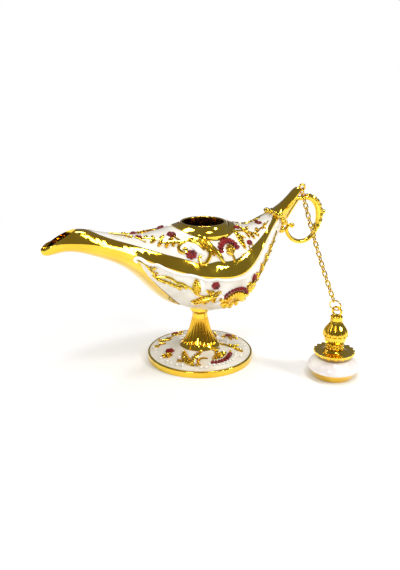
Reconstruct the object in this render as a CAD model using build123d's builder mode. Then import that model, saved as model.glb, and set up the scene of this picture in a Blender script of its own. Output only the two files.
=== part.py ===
from build123d import *
import os
from math import asin, atan2, cos, hypot, radians, sin

# A small cast oil lamp with a stopper that hangs on a chain from its tail.
# All lengths are in millimetres. The origin is the middle of the foot's underside,
# +Z is up, +X runs towards the tail and handle, and the spout points along -X.

# Driving dimensions of the foot
foot_radius = 23.5
foot_rim_height = 2.8
foot_crown = 3.1
foot_edge_round = 0.5
foot_rim_land = 0.9
pad_radius = 20.5
pad_thickness = 1.0

# Driving dimensions of the stem
stem_height = 17.1
stem_foot_radius = 9.0
flute_count = 22
spigot_radius = 4.0
spigot_height = 1.2

# Driving dimensions of the body
spout_reach = 67.2
tail_reach = 47.5
body_half_width = 22.0
body_rise = 50.0
wall = 1.3
parting_step = 0.3
enamel_sink = 0.1
enamel_depth = 0.45

# Driving dimensions of the mouth at the end of the spout
mouth_length = 13.0
mouth_half_width = 3.1
lip_margin = 1.2

# Driving dimensions of the neck
neck_offset = 1.5
neck_bore_radius = 8.9
neck_rim_radius = 9.8
neck_base_radius = 11.0
neck_flange_radius = 13.2
neck_wall_height = 2.0
neck_flange_drop = 1.6
neck_flange_thickness = 1.5
neck_spigot_depth = 3.0
neck_spigot_radius = 10.3
neck_rim_round = 0.3

# Driving dimensions of the tail's trim
ferrule_width = 1.8
ferrule_height = 0.7
ferrule_lean = 52.0
finial_radius = 1.7
eye_radius = 1.3
eye_wire = 1.0
eye_forward = 2.5
eye_drop = 0.4

# Driving dimensions of the handle
handle_width = 16.6
handle_height = 20.0
handle_thickness = 2.6
handle_bar_thickness = 1.8
handle_ball_radius = 1.15
handle_boss_radius = 1.75
handle_knob_radius = 1.15
handle_knob_reach = 3.6
handle_neck_radius = 0.8

# Driving dimensions of the chain
chain_wire = 0.6
link_length = 3.65
link_width = 2.3
link_count = 22
link_gap = 0.05
tail_ring_radius = 1.5
lid_ring_radius = 2.35
chain_heading = -98.7
chain_droop = 13.0

# Driving dimensions of the lid
plug_radius = 8.6
plug_rim_radius = 10.3
plug_height = 3.3
pearl_radius = 10.9
pearl_top_radius = 7.6
pearl_height = 5.0
cap_radius = 8.6
cap_foot_radius = 6.6
cap_height = 3.6
cap_flute_count = 18
cap_flute_radius = 1.05
cap_dish = 0.35
waist_radius = 3.2
waist_height = 3.2
bead_radius = 0.75
bead_count = 14
bulb_radius = 5.2
bulb_foot_radius = 4.3
bulb_height = 9.2
bulb_flute_count = 14
bulb_flute_radius = 0.85
knob_radius = 2.6
knob_height = 2.3
lid_eye_radius = 1.9
lid_eye_wire = 1.0
lid_eye_lift = 1.8
lid_eye_turn = 38.0
hook_lift = 0.5
pin_radius = 1.0
pin_head_radius = 2.2
pin_head_height = 0.7
pin_recess_clearance = 0.3

# Driving dimensions of the screw that draws the foot, the stem and the bowl together
screw_radius = 1.5
screw_head_radius = 2.8
screw_head_height = 1.8
screw_slot_width = 0.8
screw_slot_depth = 0.9
screw_clearance = 0.2
washer_radius = 3.6
washer_thickness = 0.6
screw_boss_wall = 2.0
screw_boss_height = 4.6
thread_engagement = 3.6

overrun = 2.0

# Shares that shape the body, station by station from the lip of the spout to the tail:
# place along the reach, half width, shoulder, keel and ridge heights, then the
# half width and height of the upper edge of the smooth shoulder band
station_shares = (
    (-1.000, 0.036, 0.672, 0.654, 0.676, 0.027, 0.674),
    (-0.900, 0.191, 0.728, 0.640, 0.758, 0.155, 0.750),
    (-0.775, 0.291, 0.722, 0.624, 0.814, 0.173, 0.788),
    (-0.655, 0.405, 0.696, 0.562, 0.778, 0.268, 0.752),
    (-0.535, 0.555, 0.644, 0.478, 0.740, 0.409, 0.704),
    (-0.387, 0.755, 0.558, 0.290, 0.716, 0.636, 0.636),
    (-0.208, 0.927, 0.466, 0.094, 0.748, 0.791, 0.548),
    (0.000, 1.000, 0.410, 0.000, 0.784, 0.855, 0.488),
    (0.253, 0.950, 0.430, 0.000, 0.760, 0.791, 0.512),
    (0.421, 0.750, 0.528, 0.066, 0.712, 0.620, 0.596),
    (0.589, 0.478, 0.664, 0.212, 0.715, 0.376, 0.680),
    (0.716, 0.280, 0.756, 0.410, 0.784, 0.216, 0.768),
    (0.821, 0.162, 0.820, 0.630, 0.858, 0.120, 0.844),
    (0.926, 0.116, 0.896, 0.800, 0.948, 0.086, 0.934),
    (1.000, 0.092, 0.964, 0.920, 1.000, 0.066, 0.992),
)
cavity_station_shares = station_shares[1:12]

# Outlines of the enamel panels: the upper one in plan, as shares of reach and half
# width, and the lower one in side view, as shares of reach and rise
upper_panel_shares = (
    (-0.725, 0.000),
    (-0.655, 0.190),
    (-0.535, 0.375),
    (-0.387, 0.600),
    (-0.208, 0.765),
    (0.000, 0.832),
    (0.253, 0.765),
    (0.421, 0.595),
    (0.589, 0.350),
    (0.690, 0.180),
    (0.735, 0.000),
)
lower_panel_top_shares = (
    (-0.495, 0.615),
    (-0.387, 0.545),
    (-0.208, 0.452),
    (0.000, 0.397),
    (0.253, 0.417),
    (0.421, 0.512),
    (0.589, 0.648),
    (0.716, 0.736),
    (0.800, 0.780),
)
lower_panel_foot_shares = (
    (0.800, 0.640),
    (0.716, 0.455),
    (0.589, 0.250),
    (0.421, 0.095),
    (0.253, 0.022),
    (0.000, 0.022),
    (-0.104, 0.050),
    (-0.208, 0.142),
    (-0.300, 0.260),
    (-0.387, 0.385),
    (-0.450, 0.500),
)

neck_base_share = 0.736
mouth_floor_share = 0.670
foot_slope_share = 0.36
ferrule_place_share = (0.800, 0.768)
handle_corner_share = (0.903, 0.494)

# The stem's outline: shares of its foot radius and of its height
stem_outline_shares = (
    (1.000, 0.000),
    (0.822, 0.117),
    (0.600, 0.339),
    (0.467, 0.561),
    (0.394, 0.754),
    (0.378, 0.854),
)
stem_collar_shares = ((0.378, 0.880), (0.500, 0.960))
stem_flute_shares = ((0.880, 0.080), (0.680, 0.220), (0.520, 0.450), (0.425, 0.640), (0.380, 0.760))
flute_depth_share = 0.115

# The handle's scroll: shares of its width and height, then of its thickness
handle_shares = (
    (0.215, 1.020, 0.72),
    (0.440, 1.000, 0.80),
    (0.681, 0.995, 0.95),
    (0.873, 0.875, 1.00),
    (0.982, 0.685, 1.00),
    (1.000, 0.495, 0.98),
    (0.958, 0.295, 0.92),
    (0.831, 0.115, 0.86),
    (0.627, 0.010, 0.82),
    (0.404, 0.000, 0.80),
    (0.187, 0.075, 0.78),
    (0.036, 0.215, 0.74),
    (0.000, 0.335, 0.68),
    (0.066, 0.410, 0.60),
    (0.163, 0.395, 0.60),
)
handle_bar_shares = ((-0.180, 0.395), (-0.054, 0.575), (0.120, 0.785), (0.300, 0.990))
handle_boss_share = (-0.165, 0.330)
handle_knob_share = (1.000, 0.640)

# The lid's profile: the cap's rim as shares of its height, the rows of beads as shares of
# the waist's height, and the bulb's outline as shares of its radius and height
cap_rim_shares = (0.55, 0.78)
bead_row_shares = (0.25, 0.75)
bulb_outline_shares = ((1.000, 0.42), (0.880, 0.62), (0.610, 0.84), (0.480, 1.00))

# Levels and places that follow from the driving dimensions
foot_height = foot_rim_height + foot_crown
bowl_bottom = foot_height + stem_height
body_top = bowl_bottom + body_rise
chain_wire_radius = chain_wire / 2


def reach(share):
    """The place along X of a share of the spout's or the tail's reach."""
    if share < 0:
        return share * spout_reach
    return share * tail_reach


def level(share):
    """The height of a share of the body's rise above the bowl's bottom."""
    return bowl_bottom + share * body_rise


def body_loft(shares, inset):
    """The body's outer form, drawn in by the inset on every side."""
    with BuildPart() as form:
        for along, width, shoulder, keel, ridge, band_width, band_top in shares:
            half = width * body_half_width - inset
            band_half = band_width * body_half_width - inset
            shoulder_level = level(shoulder)
            drop = shoulder_level - level(keel) - inset
            ridge_level = level(ridge) - inset
            band_level = level(band_top) - inset / 3
            plane = Plane(origin=(reach(along), 0, 0), x_dir=(0, 1, 0), z_dir=(1, 0, 0))
            with BuildSketch(plane):
                with BuildLine():
                    EllipticalCenterArc((0, shoulder_level), half, drop, 180, arc_size=180)
                    Line((half, shoulder_level), (band_half, band_level))
                    ThreePointArc((band_half, band_level), (0, ridge_level), (-band_half, band_level))
                    Line((-band_half, band_level), (-half, shoulder_level))
                make_face()
        loft()
    return form.part


def upright(x, y):
    """A standing plane through the given place, facing the near side, whose Y is up."""
    return Plane(origin=(x, y, 0), x_dir=(1, 0, 0), z_dir=(0, -1, 0))


def round_bar(points, radii):
    """A bar of changing thickness along a smooth line through points of the XZ plane."""
    with BuildPart() as bar:
        with BuildLine(Plane.XZ, mode=Mode.PRIVATE) as path:
            Spline(*points)
        count = len(points) - 1
        stretches = 2 * count
        for step in range(stretches + 1):
            share = step / stretches
            low = min(int(share * count), count - 1)
            part_way = share * count - low
            radius = radii[low] + part_way * (radii[low + 1] - radii[low])
            middle = path.line @ share
            along = path.line % share
            with BuildSketch(Plane(origin=middle, x_dir=(0, 1, 0), z_dir=along)):
                Circle(radius)
        loft()
    return bar.part


def groove(stations):
    """A cutter through stations of the XZ plane, each a radius, a height and a size."""
    last = len(stations) - 1
    with BuildPart() as cutter:
        for number, (radius, height, size) in enumerate(stations):
            before = stations[max(number - 1, 0)]
            after = stations[min(number + 1, last)]
            along = Vector(after[0] - before[0], 0, after[1] - before[1])
            with BuildSketch(Plane(origin=(radius, 0, height), x_dir=(0, 1, 0), z_dir=along)):
                Circle(size)
        loft()
    return cutter.part


# The body's forms: outside, enamel surface, enamel bed and hollow
body_form = body_loft(station_shares, 0)
enamel_form = body_loft(station_shares[1:-1], enamel_sink)
bed_form = body_loft(station_shares[1:-1], enamel_depth)
hollow_form = body_loft(cavity_station_shares, wall)

# The neck's axis stands a little behind the foot's
neck_axis = Axis((neck_offset, 0, 0), (0, 0, 1))
neck_base = level(neck_base_share)
neck_rim = neck_base + neck_wall_height
flange_edge = neck_base - neck_flange_drop
flange_bottom = flange_edge - neck_flange_thickness
spigot_bottom = flange_bottom - neck_spigot_depth

with BuildPart() as neck_collar:
    with BuildSketch(upright(neck_offset, 0)):
        with BuildLine():
            Polyline(
                (neck_bore_radius, spigot_bottom),
                (neck_spigot_radius, spigot_bottom),
                (neck_spigot_radius, flange_bottom),
                (neck_flange_radius, flange_bottom),
                (neck_flange_radius, flange_edge),
                (neck_base_radius, neck_base),
                (neck_rim_radius, neck_rim),
                (neck_bore_radius, neck_rim),
                close=True,
            )
        make_face()
    revolve(axis=neck_axis)
    fillet(neck_collar.edges().group_by(Axis.Z)[-1], neck_rim_round)
neck_collar.part.label = "neck_collar"

# What the neck takes out of the body
with BuildPart() as neck_cut:
    with BuildSketch(upright(neck_offset, 0)):
        with BuildLine():
            Polyline(
                (0, spigot_bottom),
                (neck_spigot_radius, spigot_bottom),
                (neck_spigot_radius, flange_bottom),
                (neck_flange_radius, flange_bottom),
                (neck_flange_radius, flange_edge),
                (neck_base_radius, neck_base),
                (neck_base_radius, body_top),
                (0, body_top),
                close=True,
            )
        make_face()
    revolve(axis=neck_axis)

# The open mouth at the end of the spout, a pointed leaf in plan
mouth_tip = lip_margin - spout_reach
mouth_middle = mouth_tip + mouth_length / 2
with BuildPart() as mouth_cut:
    with BuildSketch(Plane.XY.offset(level(mouth_floor_share))):
        with BuildLine():
            ThreePointArc((mouth_tip, 0), (mouth_middle, mouth_half_width), (mouth_tip + mouth_length, 0))
            ThreePointArc((mouth_tip + mouth_length, 0), (mouth_middle, -mouth_half_width), (mouth_tip, 0))
        make_face()
    extrude(amount=body_rise)

# Everything above the line where the two halves of the body meet
parting_points = [(reach(row[0]), level(row[2]) + parting_step) for row in station_shares]
with BuildPart() as above_parting:
    with BuildSketch(Plane.XZ):
        with BuildLine():
            Spline(*parting_points)
            Polyline(
                parting_points[-1],
                (tail_reach + overrun, parting_points[-1][1]),
                (tail_reach + overrun, body_top + overrun),
                (-spout_reach - overrun, body_top + overrun),
                (-spout_reach - overrun, parting_points[0][1]),
                parting_points[0],
            )
        make_face()
    extrude(amount=body_half_width + overrun, both=True)

# The beds of the enamel panels
upper_panel_near = [(reach(along), -width * body_half_width) for along, width in upper_panel_shares]
upper_panel_far = [(x, -y) for x, y in reversed(upper_panel_near)]
with BuildPart() as upper_bed:
    with BuildSketch(Plane.XY.offset(bowl_bottom)):
        with BuildLine():
            Spline(*upper_panel_near)
            Spline(*upper_panel_far)
        make_face()
        with Locations((neck_offset, 0)):
            Circle(neck_flange_radius + enamel_depth, mode=Mode.SUBTRACT)
    extrude(amount=body_rise)
    add(above_parting.part, mode=Mode.INTERSECT)
    add(bed_form, mode=Mode.SUBTRACT)

lower_panel_top = [(reach(along), level(rise)) for along, rise in lower_panel_top_shares]
lower_panel_foot = [(reach(along), level(rise)) for along, rise in lower_panel_foot_shares]
with BuildPart() as lower_bed_near:
    with BuildSketch(Plane.XZ):
        with BuildLine():
            Spline(*lower_panel_top)
            Line(lower_panel_top[-1], lower_panel_foot[0])
            Spline(*lower_panel_foot)
            Line(lower_panel_foot[-1], lower_panel_top[0])
        make_face()
    extrude(amount=body_half_width + overrun)
    add(bed_form, mode=Mode.SUBTRACT)
with BuildPart() as lower_bed_far:
    add(mirror(lower_bed_near.part, about=Plane.XZ, mode=Mode.PRIVATE))

with BuildPart() as upper_enamel:
    add(upper_bed.part)
    add(enamel_form, mode=Mode.INTERSECT)
upper_enamel.part.label = "upper_enamel"

with BuildPart() as lower_enamel_near:
    add(lower_bed_near.part)
    add(enamel_form, mode=Mode.INTERSECT)
lower_enamel_near.part.label = "lower_enamel_near"

with BuildPart() as lower_enamel_far:
    add(lower_bed_far.part)
    add(enamel_form, mode=Mode.INTERSECT)
lower_enamel_far.part.label = "lower_enamel_far"

# The two halves of the body
with BuildPart() as upper_shell:
    add(body_form)
    add(above_parting.part, mode=Mode.INTERSECT)
    add(hollow_form, mode=Mode.SUBTRACT)
    add(mouth_cut.part, mode=Mode.SUBTRACT)
    add(neck_cut.part, mode=Mode.SUBTRACT)
    add(upper_bed.part, mode=Mode.SUBTRACT)
upper_shell.part.label = "upper_shell"

screw_boss_radius = screw_radius + screw_boss_wall
with BuildPart() as lower_shell:
    add(body_form)
    add(above_parting.part, mode=Mode.SUBTRACT)
    add(hollow_form, mode=Mode.SUBTRACT)
    add(mouth_cut.part, mode=Mode.SUBTRACT)
    add(lower_bed_near.part, mode=Mode.SUBTRACT)
    add(lower_bed_far.part, mode=Mode.SUBTRACT)
    with BuildSketch(Plane.XY.offset(bowl_bottom + wall / 2)):
        Circle(screw_boss_radius)
    extrude(amount=screw_boss_height)
    with BuildSketch(Plane.XY.offset(bowl_bottom - overrun)):
        Circle(screw_radius)
    extrude(amount=thread_engagement + overrun, mode=Mode.SUBTRACT)
lower_shell.part.label = "lower_shell"

# The foot: a round plate with a crowned top, a pad let into its underside and
# a counterbore for the screw's head
counterbore_top = pad_thickness + screw_head_height + washer_thickness
clearance_radius = screw_radius + screw_clearance
enamel_outer = foot_radius - foot_rim_land
enamel_inner = stem_foot_radius + screw_clearance
enamel_middle = (enamel_outer + enamel_inner) / 2
slope_middle = foot_rim_height + foot_slope_share * foot_crown


def foot_slope(depth):
    """The crowned slope between the foot's rim and the stem, at a depth below its surface."""
    return (
        (enamel_outer, foot_rim_height - depth),
        (enamel_middle, slope_middle - depth),
        (enamel_inner, foot_height - depth),
    )


with BuildPart() as foot_base:
    with BuildSketch(Plane.XZ):
        with BuildLine():
            Polyline(
                (0, foot_height),
                (0, pad_thickness),
                (pad_radius, pad_thickness),
                (pad_radius, 0),
                (foot_radius, 0),
                (foot_radius, foot_rim_height),
                (enamel_outer, foot_rim_height),
                (enamel_outer, foot_rim_height - enamel_depth),
            )
            ThreePointArc(*foot_slope(enamel_depth))
            Polyline((enamel_inner, foot_height - enamel_depth), (enamel_inner, foot_height), (0, foot_height))
        make_face()
    revolve(axis=Axis.Z)
    fillet(foot_base.edges().filter_by(GeomType.CIRCLE).sort_by(SortBy.RADIUS)[-2:], foot_edge_round)
    with BuildSketch(Plane.XY.offset(foot_height)):
        Circle(spigot_radius)
    extrude(amount=spigot_height)
    with BuildSketch(Plane.XY.offset(pad_thickness)):
        Circle(washer_radius + screw_clearance)
    extrude(amount=counterbore_top - pad_thickness, mode=Mode.SUBTRACT)
    with BuildSketch(Plane.XY):
        Circle(clearance_radius)
    extrude(amount=foot_height + spigot_height + overrun, mode=Mode.SUBTRACT)
foot_base.part.label = "foot_base"

with BuildPart() as foot_enamel:
    with BuildSketch(Plane.XZ):
        with BuildLine():
            ThreePointArc(*foot_slope(enamel_depth))
            Line(foot_slope(enamel_depth)[-1], foot_slope(enamel_sink)[-1])
            ThreePointArc(*foot_slope(enamel_sink))
            Line(foot_slope(enamel_sink)[0], foot_slope(enamel_depth)[0])
        make_face()
    revolve(axis=Axis.Z)
foot_enamel.part.label = "foot_enamel"

with BuildPart() as foot_pad:
    with BuildSketch(Plane.XY):
        Circle(pad_radius)
    extrude(amount=pad_thickness)
foot_pad.part.label = "foot_pad"

# The stem: a fluted column with a small collar under the bowl
stem_outline = [(r * stem_foot_radius, foot_height + h * stem_height) for r, h in stem_outline_shares]
stem_collar = [(r * stem_foot_radius, foot_height + h * stem_height) for r, h in stem_collar_shares]
collar_radius = stem_collar[-1][0]
stem_flute = groove([
    (r * stem_foot_radius, foot_height + h * stem_height, flute_depth_share * r * stem_foot_radius)
    for r, h in stem_flute_shares
])
with BuildPart() as stem:
    with BuildSketch(Plane.XZ):
        with BuildLine():
            Spline(*stem_outline)
            Polyline(
                stem_outline[-1],
                stem_collar[0],
                stem_collar[1],
                (collar_radius, bowl_bottom + overrun),
                (0, bowl_bottom + overrun),
                (0, foot_height),
                stem_outline[0],
            )
        make_face()
    revolve(axis=Axis.Z)
    with PolarLocations(0, flute_count):
        add(stem_flute, mode=Mode.SUBTRACT)
    with BuildSketch(Plane.XY.offset(foot_height)):
        Circle(spigot_radius + link_gap)
    extrude(amount=spigot_height + screw_clearance, mode=Mode.SUBTRACT)
    with BuildSketch(Plane.XY):
        Circle(clearance_radius)
    extrude(amount=body_top, mode=Mode.SUBTRACT)
    add(body_form, mode=Mode.SUBTRACT)
    add(lower_shell.part, mode=Mode.SUBTRACT)
stem.part.label = "stem"

with BuildPart() as foot_washer:
    with BuildSketch(Plane.XY.offset(counterbore_top - washer_thickness)):
        Circle(washer_radius)
        Circle(clearance_radius, mode=Mode.SUBTRACT)
    extrude(amount=washer_thickness)
foot_washer.part.label = "foot_washer"

with BuildPart() as foot_screw:
    with BuildSketch(Plane.XY.offset(pad_thickness)):
        Circle(screw_head_radius)
    extrude(amount=screw_head_height)
    with BuildSketch(Plane.XY.offset(pad_thickness)):
        Rectangle(screw_slot_width, screw_head_radius * 2 + overrun)
    extrude(amount=screw_slot_depth, mode=Mode.SUBTRACT)
    with BuildSketch(Plane.XY.offset(pad_thickness + screw_head_height)):
        Circle(screw_radius)
    extrude(amount=bowl_bottom + thread_engagement - pad_thickness - screw_head_height)
foot_screw.part.label = "foot_screw"

# The ferrule: a raised ring round the tail
ferrule_middle = (reach(ferrule_place_share[0]), 0, level(ferrule_place_share[1]))
ferrule_axis = (cos(radians(ferrule_lean)), 0, sin(radians(ferrule_lean)))
with BuildPart() as tail_ferrule:
    with BuildSketch(Plane(origin=ferrule_middle, x_dir=(0, 1, 0), z_dir=ferrule_axis)):
        Circle(body_half_width / 2)
    extrude(amount=ferrule_width / 2, both=True)
    add(body_loft(station_shares[8:], -ferrule_height), mode=Mode.INTERSECT)
    add(body_form, mode=Mode.SUBTRACT)
tail_ferrule.part.label = "tail_ferrule"

# The tail's end: a bead with a cast eye for the chain
eye_middle = Vector(tail_reach + eye_forward, 0, body_top - eye_drop)
bead_middle = Vector(tail_reach, 0, (level(station_shares[-1][3]) + body_top) / 2)
with BuildPart() as tail_finial:
    with Locations(bead_middle):
        Sphere(finial_radius)
    with Locations(Plane(origin=eye_middle, x_dir=(1, 0, 0), z_dir=(0, 1, 0))):
        Torus(eye_radius, eye_wire / 2)
    add(body_form, mode=Mode.SUBTRACT)
tail_finial.part.label = "tail_finial"

# The handle: an open scroll, with a bar that runs up the tail's underside
handle_x = reach(handle_corner_share[0])
handle_z = level(handle_corner_share[1])


def handle_place(across, up):
    """A point of the handle in the XZ plane, from shares of its width and height."""
    return (handle_x + across * handle_width, handle_z + up * handle_height)


scroll_points = [handle_place(row[0], row[1]) for row in handle_shares]
scroll_radii = [row[2] * handle_thickness / 2 for row in handle_shares]
bar_points = [handle_place(*row) for row in handle_bar_shares]
boss_x, boss_z = handle_place(*handle_boss_share)
knob_x, knob_z = handle_place(*handle_knob_share)
with BuildPart() as handle_scroll:
    add(round_bar(scroll_points, scroll_radii))
    add(round_bar(bar_points, [handle_bar_thickness / 2] * len(bar_points)))
    with Locations((scroll_points[-1][0], 0, scroll_points[-1][1])):
        Sphere(handle_ball_radius)
    with Locations((boss_x, 0, boss_z)):
        Sphere(handle_boss_radius)
    with Locations((knob_x + handle_knob_reach - handle_knob_radius, 0, knob_z)):
        Sphere(handle_knob_radius)
    with BuildSketch(Plane(origin=(knob_x, 0, knob_z), x_dir=(0, 1, 0), z_dir=(1, 0, 0))):
        Circle(handle_neck_radius)
    extrude(amount=handle_knob_reach - handle_knob_radius)
    add(body_form, mode=Mode.SUBTRACT)
    add(tail_ferrule.part, mode=Mode.SUBTRACT)
    add(tail_finial.part, mode=Mode.SUBTRACT)
handle_scroll.part.label = "handle_scroll"

# The chain hangs from the tail's eye and runs down to the lid, which stands beside
# the lamp. Each step goes from one hinge to the next, along the chain.
chain_hook = eye_middle - Vector(0, 0, eye_radius)
lid_eye_level = plug_height + pearl_height + cap_height + waist_height + bulb_height + knob_height + lid_eye_lift
chain_drop = chain_hook.Z - lid_eye_level - hook_lift
tail_ring_step = 2 * tail_ring_radius - eye_wire / 2 - chain_wire_radius - link_gap
link_step = link_length - chain_wire - chain_wire - link_gap
lid_ring_step = 2 * lid_ring_radius - chain_wire - link_gap
steps = [tail_ring_step] + [link_step] * link_count + [lid_ring_step]
bends = [radians(chain_droop * (0.5 - k / (len(steps) - 1))) for k in range(len(steps))]
level_sum = sum(step * cos(bend) for step, bend in zip(steps, bends))
fall_sum = sum(step * sin(bend) for step, bend in zip(steps, bends))
mean_slope = asin(chain_drop / hypot(level_sum, fall_sum)) - atan2(fall_sum, level_sum)

heading = Vector(cos(radians(chain_heading)), sin(radians(chain_heading)), 0)
hinge_across = Vector(0, 0, 1).cross(heading)
chain_points = [chain_hook]
chain_directions = []
for step, bend in zip(steps, bends):
    slope = mean_slope + bend
    direction = heading * cos(slope) - Vector(0, 0, 1) * sin(slope)
    chain_directions.append(direction)
    chain_points.append(chain_points[-1] + direction * step)
lid_hook = chain_points[-1]
lid_x = lid_hook.X
lid_y = lid_hook.Y


def flat_plane(middle, direction):
    """The plane of a link that lies flat: its normal stands off the chain, upwards."""
    return Plane(origin=middle, x_dir=direction, z_dir=direction.cross(hinge_across))


def edge_plane(middle, direction):
    """The plane of a link that stands on edge: its normal is level."""
    return Plane(origin=middle, x_dir=direction, z_dir=hinge_across)


def oval_link(plane):
    """A closed oval link of round wire, its long way along the plane's X."""
    bow = (link_width - chain_wire) / 2
    run = (link_length - link_width) / 2
    with BuildPart() as link:
        with BuildLine(plane) as path:
            Line((-run, bow), (run, bow))
            ThreePointArc((run, bow), (run + bow, 0), (run, -bow))
            Line((run, -bow), (-run, -bow))
            ThreePointArc((-run, -bow), (-run - bow, 0), (-run, bow))
        with BuildSketch(Plane(origin=path.line @ 0, z_dir=path.line % 0)):
            Circle(chain_wire_radius)
        sweep(path=path.line)
    return link


def wire_ring(plane, radius):
    """A closed round ring of chain wire in the given plane."""
    with BuildPart() as ring:
        with Locations(plane):
            Torus(radius, chain_wire_radius)
    return ring


ring_middle = chain_points[1] - chain_directions[0] * tail_ring_radius
tail_ring = wire_ring(edge_plane(ring_middle, chain_directions[0]), tail_ring_radius)
tail_ring.part.label = "tail_ring"

chain_links = []
for number in range(1, link_count + 1):
    direction = chain_directions[number]
    middle = chain_points[number + 1] - direction * (link_length - chain_wire) / 2
    plane_of = flat_plane if number % 2 else edge_plane
    link = oval_link(plane_of(middle, direction))
    link.part.label = f"link_{number:02d}"
    chain_links.append(link)

ring_middle = chain_points[-1] - chain_directions[-1] * lid_ring_radius
ring_plane = edge_plane if link_count % 2 else flat_plane
lid_ring = wire_ring(ring_plane(ring_middle, chain_directions[-1]), lid_ring_radius)
lid_ring.part.label = "lid_ring"

# The lid: turned and cast pieces threaded on a pin that is riveted under the plug
lid_axis = Axis((lid_x, lid_y, 0), (0, 0, 1))
pearl_level = plug_height
cap_level = pearl_level + pearl_height
waist_level = cap_level + cap_height
bulb_level = waist_level + waist_height
knob_level = bulb_level + bulb_height
pin_recess_height = pin_head_height + pin_recess_clearance

with BuildPart() as lid_plug:
    with BuildSketch(upright(lid_x, lid_y)):
        with BuildLine():
            Polyline(
                (pin_radius, pin_recess_height),
                (pin_head_radius + pin_recess_clearance, pin_recess_height),
                (pin_head_radius + pin_recess_clearance, 0),
                (plug_radius, 0),
                (plug_rim_radius, plug_height),
                (pin_radius, plug_height),
                close=True,
            )
        make_face()
    revolve(axis=lid_axis)
lid_plug.part.label = "lid_plug"

pearl_shoulder = pearl_radius - (pearl_radius - pearl_top_radius) / 3
with BuildPart() as lid_enamel:
    with BuildSketch(upright(lid_x, lid_y)):
        with BuildLine():
            Spline(
                (plug_rim_radius, pearl_level),
                (pearl_radius, pearl_level + pearl_height / 3),
                (pearl_shoulder, pearl_level + pearl_height * 2 / 3),
                (pearl_top_radius, cap_level),
            )
            Polyline(
                (pearl_top_radius, cap_level),
                (pin_radius, cap_level),
                (pin_radius, pearl_level),
                (plug_rim_radius, pearl_level),
            )
        make_face()
    revolve(axis=lid_axis)
lid_enamel.part.label = "lid_enamel"

cap_rim_low = cap_level + cap_rim_shares[0] * cap_height
cap_rim_high = cap_level + cap_rim_shares[1] * cap_height
cap_inner = waist_radius + bead_radius
cap_groove = groove([
    (cap_foot_radius + cap_flute_radius / 3, cap_level - cap_flute_radius, cap_flute_radius / 2),
    (cap_radius + cap_flute_radius / 3, cap_rim_low, cap_flute_radius),
    (cap_radius + cap_flute_radius / 2, waist_level, cap_flute_radius),
])
with BuildPart() as lid_cap:
    with BuildSketch(upright(lid_x, lid_y)):
        with BuildLine():
            Polyline(
                (cap_inner, waist_level),
                (pin_radius, waist_level),
                (pin_radius, cap_level),
                (cap_foot_radius, cap_level),
                (cap_radius, cap_rim_low),
                (cap_radius, cap_rim_high),
            )
            ThreePointArc(
                (cap_radius, cap_rim_high),
                ((cap_radius + cap_inner) / 2, cap_rim_high - cap_dish),
                (cap_inner, waist_level),
            )
        make_face()
    revolve(axis=lid_axis)
    with Locations((lid_x, lid_y, 0)):
        with PolarLocations(0, cap_flute_count):
            add(cap_groove, mode=Mode.SUBTRACT)
lid_cap.part.label = "lid_cap"

with BuildPart() as lid_waist:
    with BuildSketch(Plane(origin=(lid_x, lid_y, waist_level))):
        Circle(waist_radius)
    extrude(amount=waist_height)
    for share in bead_row_shares:
        with Locations((lid_x, lid_y, waist_level + share * waist_height)):
            with PolarLocations(waist_radius, bead_count):
                Sphere(bead_radius)
    with BuildSketch(Plane(origin=(lid_x, lid_y, waist_level))):
        Circle(pin_radius)
    extrude(amount=waist_height, mode=Mode.SUBTRACT)
lid_waist.part.label = "lid_waist"

bulb_outline = [(r * bulb_radius, bulb_level + h * bulb_height) for r, h in bulb_outline_shares]
bulb_belly = bulb_outline[0][1]
bulb_groove = groove(
    [(bulb_radius + bulb_flute_radius / 3, bulb_belly - bulb_flute_radius, bulb_flute_radius)]
    + [(r + bulb_flute_radius / 3, z, bulb_flute_radius * r / bulb_radius) for r, z in bulb_outline]
)
with BuildPart() as lid_bulb:
    with BuildSketch(upright(lid_x, lid_y)):
        with BuildLine():
            Spline(*bulb_outline)
            Polyline(
                bulb_outline[-1],
                (pin_radius, knob_level),
                (pin_radius, bulb_level),
                (bulb_foot_radius, bulb_level),
                (bulb_radius, bulb_belly - bulb_flute_radius),
                bulb_outline[0],
            )
        make_face()
    revolve(axis=lid_axis)
    with Locations((lid_x, lid_y, 0)):
        with PolarLocations(0, bulb_flute_count):
            add(bulb_groove, mode=Mode.SUBTRACT)
lid_bulb.part.label = "lid_bulb"

# The eye stands on the lid's knob, and the last ring runs through it
pin_top = knob_level + knob_height / 2
lid_eye_middle = Vector(lid_x, lid_y, lid_eye_level)
lid_eye_axis = hinge_across.rotate(Axis.Z, lid_eye_turn)
with BuildPart() as lid_eye:
    with BuildSketch(Plane(origin=(lid_x, lid_y, knob_level))):
        Circle(knob_radius)
    extrude(amount=knob_height)
    fillet(lid_eye.edges().filter_by(GeomType.CIRCLE), knob_height / 4)
    with Locations(Plane(origin=lid_eye_middle, x_dir=(0, 0, 1), z_dir=lid_eye_axis)):
        Torus(lid_eye_radius, lid_eye_wire / 2)
    with BuildSketch(Plane(origin=(lid_x, lid_y, knob_level))):
        Circle(pin_radius)
    extrude(amount=knob_height / 2, mode=Mode.SUBTRACT)
lid_eye.part.label = "lid_eye"

with BuildPart() as lid_pin:
    with BuildSketch(Plane(origin=(lid_x, lid_y, pin_recess_height - pin_head_height))):
        Circle(pin_head_radius)
    extrude(amount=pin_head_height)
    with BuildSketch(Plane(origin=(lid_x, lid_y, pin_recess_height))):
        Circle(pin_radius)
    extrude(amount=pin_top - pin_recess_height)
lid_pin.part.label = "lid_pin"

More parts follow.
